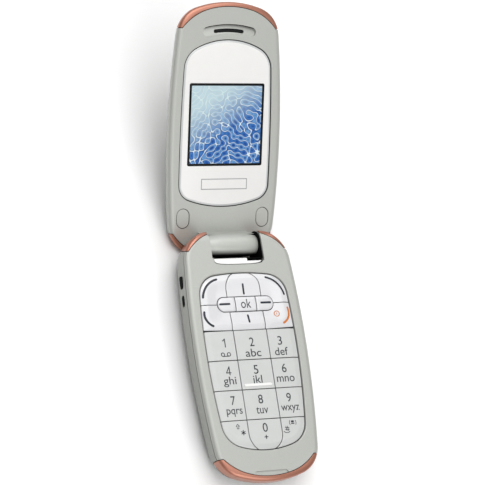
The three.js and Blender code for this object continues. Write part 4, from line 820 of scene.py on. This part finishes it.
hash_bars = [bar(*stroke) for stroke in hash_strokes] + [bow(8.3, -68.4, 1.5, 0.22, 215, 320)]
legend("key_hash", "number", hash_bars + [bar(*stroke) for stroke in bell] + waves)

# Locating ridge
# A low bar of white polycarbonate, moulded on along the lower edge of the middle key, for finding it by touch.
# Its white is a painted highlight along the bar.
# Its top edges are rounded.
ridge = block(-5.4, 5.4, -52.8, -51.7, -0.2, 0.38, 0.5)
round_off(ridge, [e for e in ridge.edges if e.verts[0].co.z > 0.2 and e.verts[1].co.z > 0.2], 0.3, 4)
fit("locating_ridge", ridge, highlight_white_plastic, "key_5", finish="number_key_plastic", edge=0)

# Strap eyes
# Two openings in the left wall with a bar between them, for a wrist strap. They are backed by the dark inside of
# the shell, a hair smaller than the openings.
for number, (middle, length) in enumerate(STRAP_EYES, 1):
    reach = length / 2 - HAIR
    backing = wall_hole(-21.4, STRAP_INSIDE - 0.1, -middle - reach, -middle + reach, STRAP_LOW + HAIR,
                        STRAP_HIGH - HAIR, 1.08)
    dark_part(f"strap_eye_{number}", backing, "base", 0.05)

# Lid: its whole form
# Drawn shut over the keypad, and turned open by 155.3 degrees about the hinge line. Its back slopes to the
# hinge, so that the open lid stands clear of the table.
OPEN = math.radians(155.3)
places["lid"] = (resting @ Matrix.Translation((0, 0, AXIS / 1000)) @ Matrix.Rotation(-OPEN, 4, "X")
                 @ Matrix.Translation((0, 0, -AXIS / 1000)) @ Matrix.Scale(0.001, 4))
LID_FACE, LID_BACK, LID_TAPER, LID_SIDE, LID_ROUND = 0.4, 8.7, 0.03, 1.9, 8.5
LID_TOP = LID_BACK + 14 * LID_TAPER  # height of the tapering back at the hinge line
lid_plan = {**phone_plan, "foot": -85.95}
levels = [(lid_plan, FACE_ROUND * (1 - s), LID_FACE + FACE_DROP * (1 - c)) for s, c in quarter_turn(8)]
levels += [(lid_plan, LID_ROUND * (1 - s), LID_SIDE * (1 - c) + LID_TOP * c, LID_TAPER * c)
           for s, c in reversed(quarter_turn(10))]
NOSE_RADIUS, NOSE_END, NOSE_AT, NOSE_BLUNT = 60.0, 4.5, -2.0, 0.4
TABLE_GAP = 0.4
nose_slope = math.pi - OPEN + TILT
nose_scale = math.cos(math.pi - OPEN) - math.sin(math.pi - OPEN) * SLOPE
nose_start = (BACK_DEPTH - TABLE_GAP + AXIS) / nose_scale + AXIS
centre_y = NOSE_AT - NOSE_RADIUS * math.sin(nose_slope)
centre_z = nose_start - NOSE_AT * math.tan(nose_slope) - NOSE_RADIUS * math.cos(nose_slope)
flat_turn = math.acos((LID_BACK - centre_z) / NOSE_RADIUS)
nose = [(NOSE_END - NOSE_BLUNT, -1), (NOSE_END - NOSE_BLUNT, LID_FACE), (NOSE_END, LID_FACE + NOSE_BLUNT),
        (NOSE_END, nose_start - NOSE_END * math.tan(nose_slope))]
for step in range(13):
    turn = nose_slope + (flat_turn + 0.1 - nose_slope) * step / 12
    nose.append((centre_y + NOSE_RADIUS * math.sin(turn), centre_z + NOSE_RADIUS * math.cos(turn)))
last_y, last_z = nose[-1]
corner_y = centre_y + NOSE_RADIUS * math.sin(flat_turn)
for step in range(1, 9):  # an easy curve from the nose into the flat back
    t = step / 8
    nose.append((last_y * (1 - t) ** 2 + corner_y * 2 * t * (1 - t) + (corner_y - 6) * t * t,
                 last_z * (1 - t) ** 2 + LID_BACK * (2 * t * (1 - t) + t * t)))
nose += [(-FAR, LID_BACK), (-FAR, -1)]
lid_form = shared(loft(levels), side_view(nose, -FAR, FAR))

# Trims of the lid
# The tip and the two hinge corners carry the same copper lacquered strips as the keypad half, clipped into the
# same kind of step.
TIP_TRIM_START, CORNER_TRIM_START = -76.7, -3.6


def lid_trim_zones(gap=SEAM):
    """The places of the lid's three trims, with a gap round them."""
    top = LID_FACE + FOOT_TRIM_DEPTH + gap
    limits = [room(y=(-FAR, TIP_TRIM_START + gap))]
    limits += [room(beside_notch(side, gap), (CORNER_TRIM_START - gap, FAR)) for side in (-1, 1)]
    return [shared(beyond_trim_line(gap, -2, top), limit) for limit in limits]


trims = (("tip_trim", "lid_tip_trim"), ("corner_trim_left", "lid_corner_trim_left"),
         ("corner_trim_right", "lid_corner_trim_right"))
for (name, node), zone in zip(trims, lid_trim_zones(0)):
    fit(name, shared(lid_form.copy(), zone), copper, "lid", [node], "copper_paint")

# Lid bezel and hinge barrel
# The inner moulding of the lid frames the lens, holds the earpiece behind an arched scoop, and carries the
# crowned barrel that turns between the knuckles. The barrel's silver fades into painted shade, black where it
# turns down out of sight into the notch.
LID_SEAM = LID_FACE + 3.5
LENS_FLOOR = 1.9
lens_plan = {"half_width": 17.85, "widest": -32.0, "side_radius": 700.0, "foot": -72.75, "foot_radius": 27.0,
             "foot_corner": 8.6, "head": -13.1, "head_radius": 42.0, "head_corner": 6.0}
seat = loft([(lens_plan, -0.24, -1), (lens_plan, -0.24, LID_FACE), (lens_plan, -0.1, LID_FACE + 0.05),
             (lens_plan, 0, LID_FACE + 0.2), (lens_plan, 0, LENS_FLOOR)])
DISPLAY_HALF, DISPLAY_Y = 14.73, -42.525


def display_square(half, low, high, rounding=0.0):
    return block(-half, half, DISPLAY_Y - half, DISPLAY_Y + half, low, high, rounding)


EAR_CENTRE, EAR_RADIUS, SLOT_RADIUS, SHADOW_LINE_RADIUS = -41.5, 35.0, 34.45, 36.58
SCOOP_INNER, SCOOP_OUTER = 33.2, 36.9


def ear_bow(radius, width, reach, radius_there, low, high, steps, spare=0.0):
    """A stroke along the earpiece's arch that reaches so far to each side, less a spare angle."""
    half = math.degrees(math.asin(reach / radius_there)) - spare
    return bow(0, EAR_CENTRE, radius, width, -90 - half, -90 + half, low, high, steps)


scoop_side = [(SCOOP_INNER, LID_FACE + 0.3), (SCOOP_OUTER, LID_FACE + 1.25), (SCOOP_OUTER, -1), (SCOOP_INNER, -1)]
scoop = bmesh.new()
profile = [bmesh.ops.create_vert(scoop, co=(radius, 0, z))["vert"][0] for radius, z in scoop_side]
bmesh.ops.contextual_create(scoop, geom=profile)
bmesh.ops.rotate(scoop, verts=scoop.verts, matrix=Matrix.Rotation(math.radians(-110), 3, "Z"))
outline = scoop.verts[:] + scoop.edges[:] + scoop.faces[:]
bmesh.ops.spin(scoop, geom=outline, cent=(0, 0, 0), axis=(0, 0, 1), angle=math.radians(40), steps=40)
bmesh.ops.translate(scoop, verts=scoop.verts, vec=(0, EAR_CENTRE, 0))
bmesh.ops.recalc_face_normals(scoop, faces=scoop.faces)
scoop = shared(scoop, ear_bow(EAR_RADIUS, 3.4, 10.3, EAR_RADIUS, -2, 4, 8))
ear_slot = ear_bow(SLOT_RADIUS, 1.3, 5.9, 34.5, 0, 9, 16)
PLUG_X, PLUG_Y, PLUG_HALF_WIDTH, PLUG_HALF_LENGTH = 15.66, -9.17, 2.35, 3.4


def plug_room(side, gap, low, high):
    x, wide, long = side * PLUG_X, PLUG_HALF_WIDTH + gap, PLUG_HALF_LENGTH + gap
    return block(x - wide, x + wide, PLUG_Y - long, PLUG_Y + long, low, high, 2.34 + gap)


def lid_screw_holes(radius, low, high):
    return [upright_rod(side * PLUG_X, PLUG_Y, radius, low, high) for side in (-1, 1)]


BARREL_HALF = 9.7
HOLLOW_ENDS = (-81, -14)
hollow = shared(upright(phone_plan, 1.7, LENS_FLOOR + 0.8, FAR), room(y=HOLLOW_ENDS))
bezel = shared(lid_form.copy(), room(z=(-FAR, LID_SEAM)))
bezel = joined(bezel, block(-BARREL_HALF, BARREL_HALF, -4.1, 2, AXIS, LID_FACE + 0.5))
window = display_square(DISPLAY_HALF + 0.5, 0, FAR)
bezel = carve(bezel, hollow, seat, window, scoop, ear_slot, plug_room(-1, 0.2, -1, 1.6), plug_room(1, 0.2, -1, 1.6),
              *lid_screw_holes(HEAD_ROOM, 1.5, 3.4), *lid_screw_holes(SHANK_ROOM, 3.0, 6.0), *lid_trim_zones(),
              rod(-BARREL_HALF, BARREL_HALF, 4.05, 0, AXIS))
fit("lid_bezel", bezel, silver, "lid", ["lid_inner_housing"])

BARREL_RADIUS, BARREL_CROWN, BARREL_BORE = 4.25, 0.75, 3.0
barrel = bmesh.new()
crest = []
for step in range(-8, 9):
    height = BARREL_RADIUS - BARREL_CROWN * abs(step / 8) ** 3.5
    crest += bmesh.ops.create_vert(barrel, co=(step * BARREL_HALF / 8, 0, AXIS + height))["vert"]
for a, b in zip(crest, crest[1:]):
    barrel.edges.new((a, b))
bmesh.ops.spin(barrel, geom=barrel.verts[:] + barrel.edges[:], cent=(0, 0, AXIS), axis=(1, 0, 0), angle=math.tau,
               steps=96, use_merge=True)
bmesh.ops.holes_fill(barrel, edges=barrel.edges[:], sides=0)
bmesh.ops.recalc_face_normals(barrel, faces=barrel.faces)
barrel = carve(barrel, rod(-1.1, 9.8, BARREL_BORE, 0, AXIS), rod(-9.8, -4.9, BARREL_BORE, 0, AXIS))


def black_below(tree, spot, tint):
    """Painted shade over a tint: black on the underside of the barrel, by how far down and forward a point is from
    the axis.
    """
    axis_point = places["lid"] @ Vector((0, 0, AXIS))
    outward = add_node(tree, "VectorMath", {0: spot, 1: tuple(axis_point)}, operation="SUBTRACT")
    down = add_node(tree, "VectorMath", {0: (outward, "Vector"), 1: (0.0, -0.95, -0.31)}, operation="DOT_PRODUCT")
    share = add_node(tree, "MapRange", {"Value": (down, "Value"), "From Min": 0.0023, "From Max": 0.0035},
                     interpolation_type="SMOOTHSTEP")
    return add_node(tree, "Mix", {0: (share, "Result"), 6: (tint, 2), 7: linear("#070808")}, data_type="RGBA")


# The barrel's lacquer carries painted shade: it turns black on the underside.
barrel_lacquer_with_painted_shade = lacquer("silver_lacquer_painted_shade_below", "#BDBFB9", "#B0B2AC", 0.3, 0.44, 0.15, black_below)
fit("hinge_barrel", barrel, barrel_lacquer_with_painted_shade, "lid", edge=0.25)

# Screw plugs
# Two polycarbonate caps in the bezel's silver lacquer, pressed flush into their seats over the lid screws beside
# the hinge.
for side, name in SIDES:
    plug = plug_room(side, 0, LID_FACE, LID_FACE + 0.9)
    fit(f"plug_{name}", plug, silver, "lid", [f"screw_plug_{name}"], edge=0.15)

# Earpiece cloth
# A black woven polyester cloth glued behind the slot, and a thin black strip along the upper edge of the recess,
# a painted shadow cast by that edge.
# The cloth's threads, 0.06 mm apart, are drawn 0.5 mm apart.
cloth_black, tree, spot = new_material("black_polyester_cloth")
weft = add_node(tree, "TexWave", {"Vector": spot, "Scale": 640.0}, bands_direction="X")
warp = add_node(tree, "TexWave", {"Vector": spot, "Scale": 640.0}, bands_direction="Y")
weave = add_node(tree, "Mix", {0: 0.5, 2: (weft, "Fac"), 3: (warp, "Fac")}, data_type="FLOAT")
tint = add_node(tree, "Mix", {0: (weave, 0), 6: linear("#060607"), 7: linear("#131415")}, data_type="RGBA")
relief = add_node(tree, "Bump", {"Height": (weave, 0), "Strength": 0.6, "Distance": 0.00005})
shader = add_node(tree, "BsdfPrincipled", {"Base Color": (tint, 2), "Roughness": 0.85,
                                           "Normal": (relief, "Normal")})
add_node(tree, "OutputMaterial", {"Surface": (shader, "BSDF")})
cloth = ear_bow(SLOT_RADIUS, 1.25, 5.9, 34.5, 1.7, 2.7, 16, 0.05)
fit("earpiece_cloth", cloth, cloth_black, "lid", ["earpiece_mesh"], "dark_plastic", edge=0)
# A black strip under the recess's upper edge: painted shadow.
shadow_line = ear_bow(SHADOW_LINE_RADIUS, 0.26, 9.7, 36.6, LID_FACE + 0.12, LID_FACE + 1.3, 24)
dark_part("ear_recess_shadow_line", shadow_line, "lid", smooth=False)

# Lens
# A clear acrylic window, printed white behind except over the display. Its chamfered edge shows as a light
# grey ring. The name field under the display is a thin printed frame, left bare.
clear_edge = moulded("clear_acrylic_edge", "#CFD1D0", "#C3C6C6", 0.12, 0.8, 0.01, 0.5, 0.6, 0.05)
white_print = moulded("white_print_under_acrylic", "#E9E8E6", "#E4E3E1", 0.3, 0.8, 0.01, 0.5, 0.5, 0.18)
edge_levels = ((0.28, 1.6), (0.28, 0.82), (0.34, 0.76), (0.9, 0.62), (1.0, 0.6))
lens = loft([(lens_plan, inset, z) for inset, z in edge_levels])
fit("lens", lens, clear_edge, "lid", ["display_lens"], "lens_plastic", edge=0)
prints = loft([(lens_plan, 0.98, 0.62), (lens_plan, 0.98, 0.585), (lens_plan, 1.02, 0.58)])
fit("lens_print", prints, white_print, "lid", finish="lens_plastic", edge=0)
field = carve(block(-8.95, 9.15, -23.25, -19.35, 0.57, 0.6, 0.15), block(-8.65, 8.85, -22.95, -19.65, 0, 2))
pale_ink = ink("pale_grey_ink", "#97989A", "#8B8C8E")
fit("name_field", field, pale_ink, "lid", finish="lens_plastic", edge=0, smooth=False)

# Display
# A black printed frame with the colour display behind it. The standby picture is a set of drop rings, pale at
# one corner and deep blue at the other.
black_print = moulded("black_print_under_acrylic", "#060708", "#040505", 0.2, 0.8, 0.01, 0.3, 0.2, 0.1)
PICTURE_HALF = DISPLAY_HALF - 0.9
rim = carve(display_square(DISPLAY_HALF, 0.565, 0.6, 0.7), display_square(PICTURE_HALF, 0, 2, 0.25))
fit("display_frame", rim, black_print, "lid", finish="display_glass", edge=0.01)
picture = bmesh.new()
bmesh.ops.create_grid(picture, x_segments=24, y_segments=24, size=PICTURE_HALF, calc_uvs=True)
bmesh.ops.reverse_faces(picture, faces=picture.faces)
bmesh.ops.translate(picture, verts=picture.verts, vec=(0, DISPLAY_Y, 0.572))
sheet = picture.loops.layers.uv.verify()
for face in picture.faces:
    for loop in face.loops:
        x, y = loop.vert.co.x, loop.vert.co.y - DISPLAY_Y
        loop[sheet].uv = (0.5 + x / (2 * PICTURE_HALF), 0.5 - y / (2 * PICTURE_HALF))
DROPS = ((0.27, 0.3), (0.8, 0.66), (0.62, -0.12))  # in widths of the picture
RING_TURNS, RING_BEND = 56.0, 0.16
lit, tree, spot = new_material("lit_display")
uv = (add_node(tree, "UVMap", {}), "UV")
swirl = add_node(tree, "TexNoise", {"Vector": uv, "Scale": 3.0, "Detail": 1.5})
parts = add_node(tree, "SeparateXYZ", {"Vector": uv})
rings = []
for x, y in DROPS:
    away = add_node(tree, "VectorMath", {0: uv, 1: (x, y, 0)}, operation="DISTANCE")
    bent = add_node(tree, "Math", {0: (swirl, "Fac"), 1: RING_BEND, 2: (away, "Value")}, operation="MULTIPLY_ADD")
    turned = add_node(tree, "Math", {0: (bent, "Value"), 1: RING_TURNS}, operation="MULTIPLY")
    rings.append(add_node(tree, "Math", {0: (turned, "Value")}, operation="SINE"))
both = add_node(tree, "Math", {0: (rings[0], "Value"), 1: (rings[1], "Value")}, operation="ADD")
waves = add_node(tree, "Math", {0: (both, "Value"), 1: (rings[2], "Value")}, operation="ADD")
level = add_node(tree, "MapRange", {"Value": (waves, "Value"), "From Min": -2.4, "From Max": 2.4})
bands = add_node(tree, "ValToRGB", {"Fac": (level, "Result")})
stops = ((0.0, "#1D4C98"), (0.25, "#6FA6DC"), (0.4, "#22559F"), (0.47, "#EAF6FA"), (0.52, "#CFE6F4"),
         (0.59, "#1B4A94"), (0.8, "#3C7CC6"), (1.0, "#1C4F9F"))
while len(bands.color_ramp.elements) < len(stops):
    bands.color_ramp.elements.new(0.5)
for element, (position, colour) in zip(bands.color_ramp.elements, stops):
    element.position = position
    element.color = linear(colour)
slant = add_node(tree, "Math", {0: (parts, "X"), 1: -0.6, 2: (parts, "Y")}, operation="MULTIPLY_ADD")
fade = add_node(tree, "MapRange", {"Value": (slant, "Value"), "From Min": 0.1, "From Max": 0.65, "To Min": 1.0,
                                   "To Max": 0.2})
colours = add_node(tree, "Mix", {0: (fade, "Result"), 6: linear("#D6ECEC"), 7: (bands, "Color")}, data_type="RGBA")
shader = add_node(tree, "BsdfPrincipled", {"Base Color": linear("#0A0C10"), "Roughness": 0.1,
                                           "Emission Color": (colours, 2), "Emission Strength": 0.95,
                                           "Coat Weight": 0.5, "Coat Roughness": 0.04})
add_node(tree, "OutputMaterial", {"Surface": (shader, "BSDF")})
fit("display_picture", picture, lit, "lid", finish="display_glass", edge=0)

# Seats and gaskets
# Black rubber and bare moulded ledges show as dark lines in the joints: round the lens, round the two plugs,
# behind the copper trims and along the seams between the mouldings.
gasket = carve(upright(lens_plan, HAIR, LID_FACE + 0.3, 1.5), upright(lens_plan, 0.26, 0, 2))
dark_part("lens_gasket", gasket, "lid")
for side, name in SIDES:
    gasket = carve(plug_room(side, 0.19, LID_FACE + 0.22, 1.4), plug_room(side, 0.01, 0, 2))
    dark_part(f"plug_gasket_{name}", gasket, "lid")


def beds(levels, limit, zones):
    """The dark ledges in the joints beside the trims: the form drawn in, between each trim and the housing."""
    inner = shared(loft([(phone_plan, *level) for level in levels]), limit)
    pairs = zip(zones(SEAM - HAIR), zones(HAIR))
    return together([carve(shared(inner.copy(), zone), trim) for zone, trim in pairs])


def seam_band(outer, inner, low, high):
    """A strip round the sides and the foot, in the seam between two mouldings."""
    return carve(upright(phone_plan, outer, low, high), upright(phone_plan, inner, -FAR, FAR), room(y=(0, FAR)))


sunk_sides = shared(keypad_side(BACK_WALL - 0.35, KNUCKLE_RADIUS - 0.35), room(y=(-FAR, 3.9), z=(-8.6, 5)))
ledge = ((3.5, -11.0), (0.5, -6.0), (0.4, -1.2), (1.2, -0.62), (2.0, -0.35))
dark_part("trim_beds", beds(ledge, sunk_sides, trim_zones), "base")
sunk_lid = lid_form.copy()
bmesh.ops.translate(sunk_lid, verts=sunk_lid.verts, vec=(0, -0.35, -0.35))
sunk_lid = shared(sunk_lid, room(y=(-FAR, 3.9), z=(LID_FACE, 7.0)))
ledge = ((2.0, LID_FACE + 0.35), (1.2, LID_FACE + 0.62), (0.4, LID_FACE + 1.2), (1.2, 4.5), (4.0, 7.5))
dark_part("lid_trim_beds", beds(ledge, sunk_lid.copy(), lid_trim_zones), "lid")
seal = seam_band(0.35, 1.4, -FACE_DROP - HOUSING_SEAM + 0.01, -FACE_DROP - 0.01)
dark_part("housing_seal", carve(seal, *notch_tools(), *trim_zones()), "base")
seal = seam_band(1.6, 2.6, LID_SEAM + 0.01, LID_SEAM + HOUSING_SEAM - 0.01)
dark_part("lid_seal", shared(carve(seal, *lid_trim_zones()), sunk_lid), "lid")

# Lid back
# The outer moulding of the lid, in the darker copy of the silver lacquer that is painted shade. It is hollow
# behind the display, and the two lid screws go up into it.
back = shared(lid_form.copy(), room(z=(LID_SEAM + HOUSING_SEAM, FAR)))
inside = loft([(phone_plan, 2.9, 0), (phone_plan, 2.9, 4.0), (phone_plan, 6.0, LID_TOP - 1.3, LID_TAPER)])
inside = shared(inside, room(y=HOLLOW_ENDS))
back = carve(back, inside, *lid_trim_zones(), *lid_screw_holes(SHANK_ROOM, 3.0, 6.0))
fit("lid_back", back, painted_shade_silver, "lid", ["lid_outer_housing"])

# Works
# What lies inside keeps its CAD shape: circuit boards under green solder mask, tinned cans, steel screws and
# hinge, the rubber web under the keys, the battery in its grey film, and dark mouldings.
rubber = moulded("grey_silicone_rubber", "#3A3C40", "#303236", 0.8, 0.5, 0.2)
solder_mask = moulded("green_solder_mask", "#1D5A3C", "#174A31", 0.4, 1.2, 0.2)
film = moulded("grey_battery_film", "#4B4E55", "#42454B", 0.5, 0.8, 0.1)


def metal(name, colour, dark, roughness):
    """A bare or plated metal, lightly brushed along the phone. Brush lines are drawn 0.3 mm apart."""
    material, tree, spot = new_material(name)
    along = add_node(tree, "Mapping", {"Vector": spot, "Scale": (3300, 300, 3300)})
    brush = add_node(tree, "TexNoise", {"Vector": (along, "Vector"), "Scale": 1.0})
    tint = add_node(tree, "Mix", {0: (brush, "Fac"), 6: linear(colour), 7: linear(dark)}, data_type="RGBA")
    relief = add_node(tree, "Bump", {"Height": (brush, "Fac"), "Strength": 0.2, "Distance": 0.00001})
    shader = add_node(tree, "BsdfPrincipled", {"Base Color": (tint, 2), "Metallic": 1.0, "Roughness": roughness,
                                               "Normal": (relief, "Normal")})
    add_node(tree, "OutputMaterial", {"Surface": (shader, "BSDF")})
    return material


works = (
    (rubber, ("keypad_web",)),
    (solder_mask, ("main_board", "lid_board")),
    (film, ("battery",)),
    (metal("tinned_steel", "#B8BCC0", "#A9ADB2", 0.32),
     ("shield_can", "microphone", "charging_socket", "closing_magnet")),
    (metal("spring_steel", "#A3A7AB", "#8F9397", 0.28),
     ("sim_holder", "dome_sheet", "vibration_motor", "base_screw_left", "base_screw_right", "lid_screw_left",
      "lid_screw_right", "hinge_module")),
    (black_plastic_and_painted_shade, ("battery_connector", "loudspeaker", "antenna", "earpiece", "hinge_sleeve", "hinge_flex")),
    (black_print, ("display_module",)),
)
for material, names in works:
    for name in names:
        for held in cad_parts[name].material_slots:
            held.material = material

for form in (keypad_form, number_form, nav_form, pill_form, lid_form):
    form.free()
